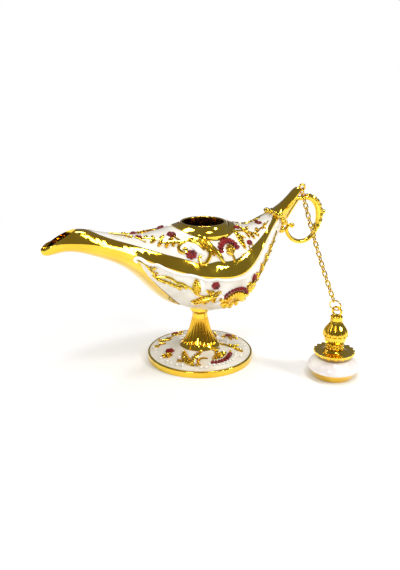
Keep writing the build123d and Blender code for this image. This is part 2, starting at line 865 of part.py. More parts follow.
pieces = [
    foot_base, foot_enamel, foot_pad, foot_screw, foot_washer, stem,
    lower_shell, upper_shell, upper_enamel, lower_enamel_near, lower_enamel_far,
    neck_collar, tail_ferrule, tail_finial, handle_scroll,
    tail_ring, *chain_links, lid_ring,
    lid_plug, lid_enamel, lid_cap, lid_waist, lid_bulb, lid_eye, lid_pin,
]
os.makedirs("parts", exist_ok=True)
for piece in pieces:
    print(piece.part.label, len(piece.part.solids()), round(piece.part.volume, 1))
    export_step(piece.part, "parts/" + piece.part.label + ".step")
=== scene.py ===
"""Looks of a small gilt and enamelled oil lamp whose lid stands beside it on a fine chain."""

import logging
import math
from dataclasses import dataclass, field
from enum import Enum
from typing import Callable, Iterable, Sequence

import bmesh
import bpy
from mathutils import Matrix, Vector
from mathutils.bvhtree import BVHTree
from mathutils.geometry import barycentric_transform

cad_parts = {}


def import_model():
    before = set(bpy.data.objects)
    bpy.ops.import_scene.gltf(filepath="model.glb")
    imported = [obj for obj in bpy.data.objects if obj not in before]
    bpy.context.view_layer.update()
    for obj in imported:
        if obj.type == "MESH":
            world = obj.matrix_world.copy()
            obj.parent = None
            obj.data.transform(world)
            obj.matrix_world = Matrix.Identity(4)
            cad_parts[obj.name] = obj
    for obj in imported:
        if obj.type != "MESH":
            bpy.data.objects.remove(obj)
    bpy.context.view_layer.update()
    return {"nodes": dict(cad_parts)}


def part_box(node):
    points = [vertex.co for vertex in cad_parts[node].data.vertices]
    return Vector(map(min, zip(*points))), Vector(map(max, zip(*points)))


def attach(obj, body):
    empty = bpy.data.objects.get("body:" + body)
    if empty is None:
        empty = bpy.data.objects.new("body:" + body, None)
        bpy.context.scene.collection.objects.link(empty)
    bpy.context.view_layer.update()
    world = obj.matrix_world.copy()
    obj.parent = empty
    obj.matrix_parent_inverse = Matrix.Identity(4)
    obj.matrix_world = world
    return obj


log = logging.getLogger("lamp")
MM = 0.001
WELD = 2e-6  # Castings come as loose triangles, and are joined at this distance in metres.
SKIN = 4e-5  # How far out a face looks for another casting that hides it, in metres.
SKY = 0.2  # The height and the side distance from which places are cast, in metres.
Point = tuple[float, float]
Colour = tuple[float, float, float]
Finishes = dict[str, bpy.types.Material]


def srgb(red: int, green: int, blue: int) -> Colour:
    """Turns a screen colour into the linear colour that a shader takes."""
    def linear(value: int) -> float:
        share = value / 255
        return share / 12.92 if share <= 0.04045 else ((share + 0.055) / 1.055) ** 2.4
    return linear(red), linear(green), linear(blue)


class Face(Enum):
    """The faces of the lamp that carry raised ornament."""

    FLANK = "flank"
    CROWN = "crown"
    FOOT = "foot"


class Side(Enum):
    """The two sides of the lamp: the near side is at negative Y."""

    NEAR = -1
    FAR = 1


@dataclass
class Bench:
    """A material's node tree with short calls for adding and joining nodes."""

    material: bpy.types.Material

    @classmethod
    def opened(cls, name: str) -> "Bench":
        """Starts an empty material.

        Args:
            name: The material's name.

        Returns:
            The bench that holds it.
        """
        material = bpy.data.materials.new(name)
        material.use_nodes = True
        material.node_tree.nodes.clear()
        return cls(material)

    def add(self, kind: str, **settings: object) -> bpy.types.Node:
        """Adds a node; a setting whose name is a socket's, with _ for a space, fills that socket.

        Args:
            kind: The node's type name without its ShaderNode prefix.
            **settings: Properties of the node, or values and links for its inputs.

        Returns:
            The new node.
        """
        node = self.material.node_tree.nodes.new("ShaderNode" + kind)
        for key, value in settings.items():
            if hasattr(node, key):
                setattr(node, key, value)
                continue
            socket = node.inputs[key.replace("_", " ")]
            if isinstance(value, bpy.types.NodeSocket):
                self.material.node_tree.links.new(value, socket)
            else:
                socket.default_value = value
        return node

    def join(self, out: bpy.types.NodeSocket, into: bpy.types.NodeSocket) -> None:
        """Links an output to an input."""
        self.material.node_tree.links.new(out, into)

    def noise(self, scale: float, detail: float = 3.0) -> bpy.types.NodeSocket:
        """A noise on the object's own coordinates.

        Args:
            scale: Waves per metre.
            detail: Octaves of finer noise.

        Returns:
            The noise's value.
        """
        place = self.add("TexCoord")
        return self.add("TexNoise", Vector=place.outputs["Object"], Scale=scale, Detail=detail).outputs["Fac"]

    def ramp(
        self, value: bpy.types.NodeSocket, stops: Sequence[tuple[float, Colour]],
    ) -> bpy.types.NodeSocket:
        """Turns a value into a colour by a ramp of stops."""
        node = self.add("ValToRGB")
        while len(node.color_ramp.elements) < len(stops):
            node.color_ramp.elements.new(0.5)
        for element, (place, colour) in zip(node.color_ramp.elements, stops):
            element.position = place
            element.color = (*colour, 1)
        self.join(value, node.inputs["Fac"])
        return node.outputs["Color"]

    def band(self, value: bpy.types.NodeSocket, low: float, high: float) -> bpy.types.NodeSocket:
        """Maps a value from 0..1 to low..high."""
        return self.add("MapRange", Value=value, To_Min=low, To_Max=high).outputs["Result"]

    def surface(self, shader: bpy.types.Node) -> bpy.types.Material:
        """Ends the tree at a shader.

        Args:
            shader: The shader node.

        Returns:
            The finished material.
        """
        out = self.add("OutputMaterial")
        self.join(shader.outputs[0], out.inputs["Surface"])
        return self.material


@dataclass(frozen=True)
class Gilt:
    """Bright gold plate over a casting: its tone, its polish and the soft waves that polishing leaves."""

    name: str
    tone: Colour
    deep: Colour
    roughness: float = 0.09
    wave: float = 0.35
    wave_scale: float = 160.0
    grain: float = 0.10
    grain_scale: float = 2600.0
    coat: float = 0.8
    coat_roughness: float = 0.03
    # The last two fields set the painted shade in hollows: how far it looks for nearby surfaces, and how much
    # of the deep tone is left in the shade.
    painted_shade_reach: float = 0.0016
    painted_shade_share: float = 0.45

    def material(self) -> bpy.types.Material:
        """Makes the gold: warmer patches, painted shade that darkens it in hollows and grooves, fine satin in
        the grain, and low waves under the mirror.
        """
        bench = Bench.opened(self.name)
        cloud = bench.noise(90.0)
        colour = bench.ramp(cloud, ((0.30, self.deep), (0.62, self.tone)))
        # Painted shade: where ambient occlusion finds nearby surfaces, the colour goes towards a darkened
        # deep tone.
        hollow = bench.add("AmbientOcclusion", Distance=self.painted_shade_reach, samples=8)
        dark = bench.add("Mix", data_type="RGBA")
        bench.join(bench.band(hollow.outputs["AO"], 0.55, 0.0), dark.inputs["Factor"])
        bench.join(colour, dark.inputs[6])
        dark.inputs[7].default_value = (*(channel * self.painted_shade_share for channel in self.deep), 1)
        waves = bench.add("Bump", Strength=self.wave, Distance=0.0002)
        bench.join(bench.noise(self.wave_scale, 1.0), waves.inputs["Height"])
        grain = bench.add("Bump", Strength=self.grain, Distance=0.00003, Normal=waves.outputs["Normal"])
        bench.join(bench.noise(self.grain_scale, 4.0), grain.inputs["Height"])
        shader = bench.add(
            "BsdfPrincipled", Metallic=1.0, Coat_Weight=self.coat, Coat_Roughness=self.coat_roughness,
            Normal=grain.outputs["Normal"],
        )
        bench.join(dark.outputs[2], shader.inputs["Base Color"])
        bench.join(
            bench.band(bench.noise(420.0), self.roughness * 0.75, self.roughness * 1.45),
            shader.inputs["Roughness"],
        )
        return bench.surface(shader)


@dataclass(frozen=True)
class Enamel:
    """Fired enamel: a clear gloss over colour, with painted shade that darkens it in recesses."""

    name: str
    tone: Colour
    shade: Colour
    roughness: float = 0.16
    coat: float = 0.6
    pearl: float = 0.0
    cloud_scale: float = 120.0
    # The last two fields set the painted shade in recesses: how far it looks for nearby surfaces, and how
    # much of the shade tone is left.
    painted_shade_reach: float = 0.0014
    painted_shade_share: float = 0.62

    def material(self) -> bpy.types.Material:
        """Makes the enamel: clouded colour, painted shade in its recesses, a soft pearl sheen and the dimples
        of firing.
        """
        bench = Bench.opened(self.name)
        colour = bench.ramp(bench.noise(self.cloud_scale, 4.0), ((0.32, self.shade), (0.60, self.tone)))
        # Painted shade: where ambient occlusion finds nearby surfaces, the colour goes towards a darkened
        # shade tone.
        hollow = bench.add("AmbientOcclusion", Distance=self.painted_shade_reach, samples=8)
        painted_recess_shade = bench.add("Mix", data_type="RGBA")
        bench.join(bench.band(hollow.outputs["AO"], 0.45, 0.0), painted_recess_shade.inputs["Factor"])
        bench.join(colour, painted_recess_shade.inputs[6])
        painted_recess_shade.inputs[7].default_value = (*(channel * self.painted_shade_share for channel in self.shade), 1)
        swell = bench.add("Bump", Strength=0.18, Distance=0.00015)
        bench.join(bench.noise(260.0, 2.0), swell.inputs["Height"])
        dimple = bench.add("Bump", Strength=0.12, Distance=0.00003, Normal=swell.outputs["Normal"])
        bench.join(bench.noise(1800.0, 2.0), dimple.inputs["Height"])
        shader = bench.add("BsdfPrincipled", Normal=dimple.outputs["Normal"])
        shader.inputs["Coat Weight"].default_value = self.coat
        shader.inputs["Coat Roughness"].default_value = 0.06
        shader.inputs["Sheen Weight"].default_value = self.pearl
        shader.inputs["Sheen Roughness"].default_value = 0.35
        bench.join(painted_recess_shade.outputs[2], shader.inputs["Base Color"])
        bench.join(
            bench.band(bench.noise(500.0), self.roughness * 0.8, self.roughness * 1.4),
            shader.inputs["Roughness"],
        )
        return bench.surface(shader)


@dataclass(frozen=True)
class Felt:
    """The dark felt disc under the foot."""

    name: str
    tone: Colour
    shade: Colour

    def material(self) -> bpy.types.Material:
        """Makes the felt: matted fibres that catch a little light at the edge."""
        bench = Bench.opened(self.name)
        fibres = bench.noise(3200.0, 6.0)
        colour = bench.ramp(fibres, ((0.35, self.shade), (0.65, self.tone)))
        nap = bench.add("Bump", Strength=0.6, Distance=0.0001)
        bench.join(fibres, nap.inputs["Height"])
        shader = bench.add("BsdfPrincipled", Roughness=0.95, Normal=nap.outputs["Normal"])
        shader.inputs["Sheen Weight"].default_value = 0.4
        bench.join(colour, shader.inputs["Base Color"])
        return bench.surface(shader)


@dataclass(frozen=True)
class Steel:
    """Plain turned steel, for the screw and its washer."""

    name: str
    tone: Colour

    def material(self) -> bpy.types.Material:
        """Makes the steel: turning marks in rings round the foot's axis."""
        bench = Bench.opened(self.name)
        place = bench.add("TexCoord")
        rings = bench.add(
            "TexWave", wave_type="RINGS", rings_direction="Z", Vector=place.outputs["Object"],
            Scale=1400.0, Distortion=1.5,
        )
        marks = bench.add("Bump", Strength=0.15, Distance=0.00003)
        bench.join(rings.outputs["Fac"], marks.inputs["Height"])
        shader = bench.add("BsdfPrincipled", Metallic=1.0, Normal=marks.outputs["Normal"])
        tone = bench.ramp(bench.noise(300.0), ((0.3, tuple(c * 0.8 for c in self.tone)), (0.7, self.tone)))
        bench.join(tone, shader.inputs["Base Color"])
        bench.join(bench.band(rings.outputs["Fac"], 0.28, 0.42), shader.inputs["Roughness"])
        return bench.surface(shader)


GOLD = srgb(255, 219, 62)
GOLD_DEEP = srgb(250, 198, 34)
POLISHED_GOLD = Gilt("polished_gold", GOLD, GOLD_DEEP, roughness=0.07, wave=0.10, wave_scale=110.0)
CAST_GOLD = Gilt("cast_gold", GOLD, GOLD_DEEP, roughness=0.13, wave=0.16, wave_scale=420.0)
RELIEF_GOLD = Gilt(
    "relief_gold", srgb(255, 221, 66), srgb(248, 192, 30), roughness=0.17, wave=0.3, wave_scale=900.0,
)
CHAIN_GOLD = Gilt("chain_gold", srgb(255, 220, 88), srgb(246, 196, 52), roughness=0.15, wave=0.0)
PIN_BRASS = Gilt("pin_brass", srgb(214, 176, 96), srgb(186, 144, 70), roughness=0.25, wave=0.2)
IVORY_ENAMEL = Enamel("ivory_enamel", srgb(238, 234, 224), srgb(222, 215, 200), pearl=0.12)
PEARL_ENAMEL = Enamel("pearl_enamel", srgb(244, 240, 236), srgb(224, 214, 210), roughness=0.12, pearl=0.25)
RUBY_ENAMEL = Enamel(
    "ruby_enamel", srgb(142, 4, 8), srgb(88, 1, 4), roughness=0.32, coat=0.12, cloud_scale=420.0,
)
PAD_FELT = Felt("pad_felt", srgb(48, 44, 40), srgb(20, 18, 17))
SCREW_STEEL = Steel("screw_steel", srgb(176, 176, 178))


@dataclass
class Smoothing:
    """A modifier that joins a casting's facets and rounds its shading, but keeps its true edges."""

    edge_angle: float = 32.0
    weld: float = WELD
    tree: bpy.types.NodeTree | None = None

    def group(self) -> bpy.types.NodeTree:
        """Makes the node group once and returns it."""
        if self.tree is not None:
            return self.tree
        tree = bpy.data.node_groups.new("casting_smoothing", "GeometryNodeTree")
        tree.interface.new_socket("Geometry", in_out="INPUT", socket_type="NodeSocketGeometry")
        tree.interface.new_socket("Geometry", in_out="OUTPUT", socket_type="NodeSocketGeometry")
        nodes, links = tree.nodes, tree.links
        start, end = nodes.new("NodeGroupInput"), nodes.new("NodeGroupOutput")
        weld = nodes.new("GeometryNodeMergeByDistance")
        weld.inputs["Distance"].default_value = self.weld
        angle = nodes.new("GeometryNodeInputMeshEdgeAngle")
        soft = nodes.new("FunctionNodeCompare")
        soft.operation = "LESS_THAN"
        soft.inputs["B"].default_value = math.radians(self.edge_angle)
        faces = nodes.new("GeometryNodeSetShadeSmooth")
        edges = nodes.new("GeometryNodeSetShadeSmooth")
        edges.domain = "EDGE"
        links.new(start.outputs[0], weld.inputs["Geometry"])
        links.new(weld.outputs["Geometry"], faces.inputs["Geometry"])
        links.new(faces.outputs["Geometry"], edges.inputs["Geometry"])
        links.new(angle.outputs["Unsigned Angle"], soft.inputs["A"])
        links.new(soft.outputs["Result"], edges.inputs["Shade Smooth"])
        links.new(edges.outputs["Geometry"], end.inputs[0])
        self.tree = tree
        return tree

    def apply(self, piece: bpy.types.Object) -> None:
        """Adds the modifier to a piece."""
        piece.modifiers.new("smoothing", "NODES").node_group = self.group()


@dataclass
class Ground:
    """The lamp's own surface, on which raised ornament is laid."""

    nodes: dict[str, bpy.types.Object]
    names: tuple[str, ...]
    mesh: bmesh.types.BMesh = field(init=False)
    tree: BVHTree = field(init=False)

    def __post_init__(self) -> None:
        """Joins the named castings into one surface that can be searched."""
        self.mesh = bmesh.new()
        for name in self.names:
            self.mesh.from_mesh(self.nodes[name].data)
        bmesh.ops.remove_doubles(self.mesh, verts=self.mesh.verts, dist=WELD)
        self.mesh.normal_update()
        whole = BVHTree.FromBMesh(self.mesh)
        hidden = [
            face for face in self.mesh.faces
            if whole.ray_cast(face.calc_center_median() + face.normal * SKIN, face.normal)[0] is not None
        ]
        bmesh.ops.delete(self.mesh, geom=hidden, context="FACES")
        self.mesh.normal_update()
        self.mesh.faces.ensure_lookup_table()
        self.tree = BVHTree.FromBMesh(self.mesh)

    def cast(self, face: Face, side: Side, place: Point) -> Vector:
        """Finds the point of the surface over a place of one of its faces.

        Args:
            face: The face: a flank is seen from its side, the crown and the foot from above.
            side: The side of the lamp.
            place: Two coordinates in millimetres: X and Z on a flank, X and Y on the others, near side.

        Returns:
            The point in metres.
        """
        first, second = (value * MM for value in place)
        if face is Face.FLANK:
            start, way = Vector((first, side.value * SKY, second)), Vector((0, -side.value, 0))
        else:
            start, way = Vector((first, -side.value * second, SKY)), Vector((0, 0, -1))
        hit = self.tree.ray_cast(start, way)[0]
        if hit is None:
            beside = 0 if face is Face.FLANK else start.y
            hit = self.tree.find_nearest(Vector((start.x, beside, second)))[0]
        return hit

    def rest(self, point: Vector) -> tuple[Vector, Vector]:
        """Finds the nearest point of the surface.

        Args:
            point: A point near the surface.

        Returns:
            The point on the surface and the smooth normal there.
        """
        place, normal, index, _ = self.tree.find_nearest(point)
        corners = [loop.vert for loop in self.mesh.faces[index].loops]
        blended = barycentric_transform(place, *(v.co for v in corners), *(v.normal for v in corners))
        if blended.length < 0.5 or blended.dot(normal) < 0.5:
            return place, normal
        return place, blended.normalized()


Profile = Callable[[float], float]


def drop_profile(share: float) -> float:
    """A petal that widens towards its tip."""
    return math.sin(math.pi * share ** 1.25) ** 0.6


def bud_profile(share: float) -> float:
    """A full round bud."""
    return math.sin(math.pi * share) ** 0.5


@dataclass
class Relief:
    """One raised layer of ornament: motifs of one finish, laid on a surface and joined as one piece."""

    name: str
    ground: Ground
    finish: bpy.types.Material
    mesh: bmesh.types.BMesh = field(default_factory=bmesh.new)
    root: float = 0.12

    def motif(
        self,
        start: Vector,
        end: Vector,
        width: float,
        height: float,
        profile: Profile,
        bend: float = 0.0,
        facets: tuple[int, int] = (10, 9),
    ) -> None:
        """Lays one motif, a swelling form from a start point to an end point.

        Args:
            start: Where it springs from, in metres.
            end: Its tip, in metres.
            width: Its full width in millimetres.
            height: How far it stands above the surface, in millimetres.
            profile: Its half width along its length, as a share.
            bend: How far its middle bows sideways, in millimetres.
            facets: Segments round it and along it.
        """
        _, normal = self.ground.rest((start + end) / 2)
        along = end - start
        across = normal.cross(along).normalized()
        made = bmesh.ops.create_uvsphere(
            self.mesh, u_segments=facets[0], v_segments=facets[1], radius=1,
            matrix=Matrix.Rotation(math.pi / 2, 4, "Y"),
        )["verts"]
        for vert in made:
            share = min(max((vert.co.x + 1) / 2, 0.0), 1.0)
            ring = math.sqrt(max(1 - vert.co.x ** 2, 1e-9))
            turn_y, turn_z = vert.co.y / ring, vert.co.z / ring
            half = profile(min(max(share, 0.001), 0.999))
            side = turn_y * half * width / 2 * MM if ring > 1e-3 else 0.0
            bow = bend * MM * 4 * share * (1 - share)
            lift = turn_z * min(half, 1.0) ** 0.7
            rise = lift * height if turn_z > 0 else lift * self.root
            flat = start + along * share + across * (side + bow)
            place, up = self.ground.rest(flat)
            vert.co = place + up * (rise * MM)

    def rosette(
        self, centre: Vector, toward: Vector, size: tuple[float, float], height: float, lobes: int,
        groove: float = 0.16,
    ) -> None:
        """Lays a full round flower head with a scalloped edge and a groove between its petals.

        Args:
            centre: Its middle, in metres.
            toward: A point in the direction of its first axis.
            size: Its full width along the first axis and across it, in millimetres.
            height: How far its middle stands above the surface, in millimetres.
            lobes: How many petals it has.
            groove: How deep the grooves are, as a share.
        """
        seat, normal = self.ground.rest(centre)
        first = toward - seat
        first = (first - normal * first.dot(normal)).normalized()
        second = normal.cross(first)
        rings, steps = 6, lobes * 6
        rows: list[list[bmesh.types.BMVert]] = []
        for ring in range(rings + 1):
            out = ring / rings
            row = []
            for step in range(steps):
                turn = 2 * math.pi * step / steps
                petal = abs(math.cos(turn * lobes / 2)) ** 0.6
                reach = out * (1 - groove * 1.2 * (1 - petal) * out)
                flat = (
                    seat
                    + first * (math.cos(turn) * reach * size[0] / 2 * MM)
                    + second * (math.sin(turn) * reach * size[1] / 2 * MM)
                )
                place, up = self.ground.rest(flat)
                furrow = groove * 1.6 * (1 - petal) * math.sin(math.pi * min(out, 0.9))
                rise = height * (1 - out ** 4) ** 0.5 * (1 - furrow)
                rise -= height * 0.35 * math.exp(-(out / 0.22) ** 2)
                row.append(self.mesh.verts.new(place + up * ((rise if ring < rings else -self.root) * MM)))
                if ring == 0:
                    break
            rows.append(row)
        for step in range(steps):
            after = (step + 1) % steps
            self.mesh.faces.new((rows[0][0], rows[1][step], rows[1][after]))
            for ring in range(1, rings):
                low, high = rows[ring], rows[ring + 1]
                self.mesh.faces.new((low[step], high[step], high[after], low[after]))
        self.mesh.faces.new(list(reversed(rows[rings])))

    def bead(self, centre: Vector, radius: float, sink: float = 0.25) -> None:
        """Seats a round bead.

        Args:
            centre: A point on the surface, in metres.
            radius: The bead's radius in millimetres.
            sink: The share of the radius that is let into the surface.
        """
        place, up = self.ground.rest(centre)
        bmesh.ops.create_icosphere(
            self.mesh, subdivisions=2, radius=radius * MM,
            matrix=Matrix.Translation(place + up * (radius * (1 - sink) * MM)),
        )

    def vine(
        self, line: Sequence[Vector], radii: Sequence[float], lift: float = 0.35, sides: int = 2,
    ) -> None:
        """Lays a tapering tendril along a line.

        Args:
            line: Points near the surface, in metres.
            radii: Its radius at each point, in millimetres.
            lift: The share of the radius by which its middle stands clear of the surface.
            sides: How round it is.
        """
        curve = bpy.data.curves.new(self.name + "_vine", "CURVE")
        curve.dimensions = "3D"
        curve.bevel_depth = 1.0
        curve.bevel_resolution = sides
        curve.use_fill_caps = True
        path = smooth_line(line, radii)
        spline = curve.splines.new("POLY")
        spline.points.add(len(path) - 1)
        for point, (place, radius) in zip(spline.points, path):
            seat, up = self.ground.rest(place)
            point.co = (*(seat + up * (radius * lift * MM)), 1)
            point.radius = radius * MM
        holder = bpy.data.objects.new(self.name + "_vine", curve)
        tube = bpy.data.meshes.new_from_object(holder)
        self.mesh.from_mesh(tube)
        bpy.data.objects.remove(holder)
        bpy.data.curves.remove(curve)
        bpy.data.meshes.remove(tube)

    def finish_piece(self, body: str, smoothing: Smoothing, slot: str) -> bpy.types.Object:
        """Turns the layer into one object that moves with a body.

        Args:
            body: The body that it rides on.
            smoothing: The shading modifier.
            slot: The record's material slot; it is not used.

        Returns:
            The new object.
        """
        bmesh.ops.remove_doubles(self.mesh, verts=self.mesh.verts, dist=1e-7)
        bmesh.ops.recalc_face_normals(self.mesh, faces=self.mesh.faces)
        data = bpy.data.meshes.new(self.name)
        self.mesh.to_mesh(data)
        self.mesh.free()
        piece = bpy.data.objects.new(self.name, data)
        bpy.context.scene.collection.objects.link(piece)
        data.materials.append(self.finish)
        smoothing.apply(piece)
        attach(piece, body)
        log.info("%s: %d faces", self.name, len(data.polygons))
        return piece


def smooth_line(
    points: Sequence[Vector], values: Sequence[float], parts: int = 6,
) -> list[tuple[Vector, float]]:
    """Rounds a line of points, and carries a value along it.

    Args:
        points: The line's points.
        values: A value at each point.
        parts: Steps between two points.

    Returns:
        The finer points, each with its value.
    """
    path: list[tuple[Vector, float]] = []
    last = len(points) - 1
    for index in range(last):
        before, start = points[max(index - 1, 0)], points[index]
        end, after = points[index + 1], points[min(index + 2, last)]
        for part in range(parts):
            t = part / parts
            place = (
                start * 2
                + (end - before) * t
                + (before * 2 - start * 5 + end * 4 - after) * t ** 2
                + (start * 3 - before - end * 3 + after) * t ** 3
            ) / 2
            path.append((place, values[index] + (values[index + 1] - values[index]) * t))
    path.append((points[-1], values[-1]))
    return path


@dataclass
class Castings:
    """The lamp's own castings, given their finishes."""

    nodes: dict[str, bpy.types.Object]
    smoothing: Smoothing
    polished: tuple[str, ...] = (
        "upper_shell", "lower_shell", "neck_collar", "stem", "lid_plug", "lid_cap", "lid_bulb",
        "tail_ferrule",
    )
    cast: tuple[str, ...] = ("foot_base", "tail_finial", "handle_scroll", "lid_waist", "lid_eye")
    ivory: tuple[str, ...] = ("foot_enamel", "upper_enamel", "lower_enamel_near", "lower_enamel_far")

    def finish_of(self, name: str) -> object:
        """The finish of one node."""
        if name in self.polished:
            return POLISHED_GOLD
        if name in self.cast:
            return CAST_GOLD
        if name in self.ivory:
            return IVORY_ENAMEL
        if name == "lid_enamel":
            return PEARL_ENAMEL
        if name == "lid_pin":
            return PIN_BRASS
        if name == "foot_pad":
            return PAD_FELT
        if name in ("foot_screw", "foot_washer"):
            return SCREW_STEEL
        return CHAIN_GOLD

    def dress(self) -> None:
        """Gives each node its material and its smooth shading."""
        made: dict[str, bpy.types.Material] = {}
        for name, piece in self.nodes.items():
            finish = self.finish_of(name)
            if finish.name not in made:
                made[finish.name] = finish.material()
            piece.data.materials.clear()
            piece.data.materials.append(made[finish.name])
            self.smoothing.apply(piece)
        log.info("castings: %d nodes in %d finishes", len(self.nodes), len(made))


@dataclass
class Carving:
    """Raised ornament in gold, ruby and ivory on one face and side of the lamp."""

    ground: Ground
    face: Face
    side: Side
    gold: Relief
    ruby: Relief
    ivory: Relief

    @classmethod
    def opened(cls, ground: Ground, face: Face, side: Side, finishes: Finishes) -> "Carving":
        """Starts the three layers of one face.

        Args:
            ground: The surface that carries them.
            face: The face.
            side: The side.
            finishes: The gold, ruby and ivory materials.

        Returns:
            The empty carving.
        """
        stem = f"{face.value}_{side.name.lower()}"
        layers = [Relief(f"{stem}_{tone}", ground, finishes[tone]) for tone in ("gold", "ruby", "ivory")]
        return cls(ground, face, side, *layers)

    def at(self, place: Point) -> Vector:
        """The surface point over a place in millimetres."""
        return self.ground.cast(self.face, self.side, place)

    def frond(
        self, start: Point, end: Point, width: float, height: float = 0.8, pairs: int = 4, bend: float = 0.0,
        layer: Relief | None = None,
    ) -> None:
        """Lays a feathered leaf: a midrib with pairs of leaflets that lean towards its tip.

        Args:
            start: Where it springs from, on the face.
            end: Its tip.
            width: Its full width in millimetres.
            height: How far it stands up.
            pairs: How many pairs of leaflets it has.
            bend: How far its middle bows to the left of its way, in millimetres.
            layer: The layer that takes it; gold if none is given.
        """
        layer = layer or self.gold
        way = (end[0] - start[0], end[1] - start[1])
        length = math.hypot(*way)
        along, across = (way[0] / length, way[1] / length), (-way[1] / length, way[0] / length)

        def spot(share: float, side: float) -> Point:
            bow = bend * 4 * share * (1 - share) + side
            return (
                start[0] + along[0] * length * share + across[0] * bow,
                start[1] + along[1] * length * share + across[1] * bow,
            )

        for index in range(pairs):
            share = (index + 0.35) / (pairs + 0.55)
            reach = width * 0.56 * (1 - share) ** 0.55 * min(1.0, 0.6 + 2 * share)
            ahead = min(share + 1.15 * reach / length, 0.97)
            for turn in (-1, 1):
                layer.motif(
                    self.at(spot(share - 0.03, 0.0)), self.at(spot(ahead, turn * reach)),
                    min(length / pairs * 0.95, reach * 0.9), height, bud_profile, facets=(8, 6),
                )
        top = self.at(spot(1 - 1.15 / (pairs + 0.55), 0.0))
        layer.motif(top, self.at(end), width * 0.34, height, bud_profile, facets=(8, 6))
        ridge = [self.at(spot(step / 5 * 0.92, 0.0)) for step in range(6)]
        size = min(width * 0.10, 0.26)
        radii = [size * (1.2 - 0.6 * step / 5) for step in range(6)]
        layer.vine(ridge, radii, lift=1.6 + height / size * 0.42, sides=1)

    def petal(
        self, layer: Relief, start: Point, end: Point, width: float, height: float = 0.7, bend: float = 0.0,
    ) -> None:
        """Lays a plain petal that widens towards its tip."""
        way = bend * (1 if self.side is Side.NEAR else -1)
        layer.motif(self.at(start), self.at(end), width, height, drop_profile, way, facets=(8, 7))

    def crescent(
        self, layer: Relief, inner: Sequence[Point], outer: Sequence[Point], width: float, height: float,
    ) -> None:
        """Lays a row of petals side by side, each from a place of one arc to its place of another.

        Args:
            layer: The layer that takes them.
            inner: The arc from which the petals spring.
            outer: The arc of their tips.
            width: Each petal's width.
            height: How far each stands up.
        """
        for start, end in zip(inner, outer):
            self.petal(layer, start, end, width, height)

    def bud(
        self, centre: Point, width: float, length: float, height: float = 1.1, lobes: int = 5,
        turn: float = 0.0,
    ) -> None:
        """Lays a full ruby bud with a raised heart.

        Args:
            centre: Its middle on the face.
            width: Its size across its own axis.
            length: Its size along its own axis.
            height: How far it stands up.
            lobes: How many petals it has.
            turn: The direction of its own axis, in degrees from the face's first axis.
        """
        x, y = centre
        ahead = (x + math.cos(math.radians(turn)), y + math.sin(math.radians(turn)))
        self.ruby.rosette(self.at(centre), self.at(ahead), (length, width), height, lobes)
        self.ruby.bead(self.at(centre), min(width, length) * 0.17, 0.6)

    def tendril(self, places: Sequence[Point], radii: Sequence[float], layer: Relief | None = None) -> None:
        """Lays a tapering vine through places of the face; two radii are its first and its last."""
        steps = len(places) - 1
        spread = [
            radii[0] + (radii[-1] - radii[0]) * index / steps if len(radii) == 2 else radii[index]
            for index in range(steps + 1)
        ]
        (layer or self.gold).vine([self.at(place) for place in places], spread)

    def swelling(
        self, places: Sequence[Point], thin: float, thick: float, layer: Relief | None = None,
    ) -> None:
        """Lays a vine that is thin at its ends and thick in its middle."""
        last = len(places) - 1
        radii = [thin + (thick - thin) * math.sin(math.pi * index / last) for index in range(last + 1)]
        self.tendril(places, radii, layer)

    def knob(self, place: Point, radius: float, layer: Relief | None = None) -> None:
        """Seats a bead at a place of the face."""
        (layer or self.gold).bead(self.at(place), radius)

    def fronds(self, rows: Sequence[tuple[Point, Point, float, int]], height: float = 0.8) -> None:
        """Lays several leaves, each from its start, tip, width and pairs of leaflets."""
        for start, end, width, pairs in rows:
            self.frond(start, end, width, height, pairs)

    def knobs(self, rows: Sequence[tuple[Point, float]]) -> None:
        """Seats several gold beads, each by its place and radius."""
        for place, radius in rows:
            self.knob(place, radius)

    def star(self, heart: Point, tips: Sequence[Point], width: float, height: float = 0.7) -> None:
        """Lays narrow leaflets from one heart to several tips, and a bead on the heart."""
        for tip in tips:
            self.gold.motif(self.at(heart), self.at(tip), width, height, bud_profile, facets=(8, 7))
        self.knob(heart, width * 0.42)

    def finish(self, smoothing: Smoothing) -> None:
        """Turns the three layers into pieces that ride on the lamp."""
        slots = ("gold_cast", "ivory_enamel", "ivory_enamel")
        for layer, slot in zip((self.gold, self.ruby, self.ivory), slots):
            if layer.mesh.verts:
                layer.finish_piece("lamp", smoothing, slot)


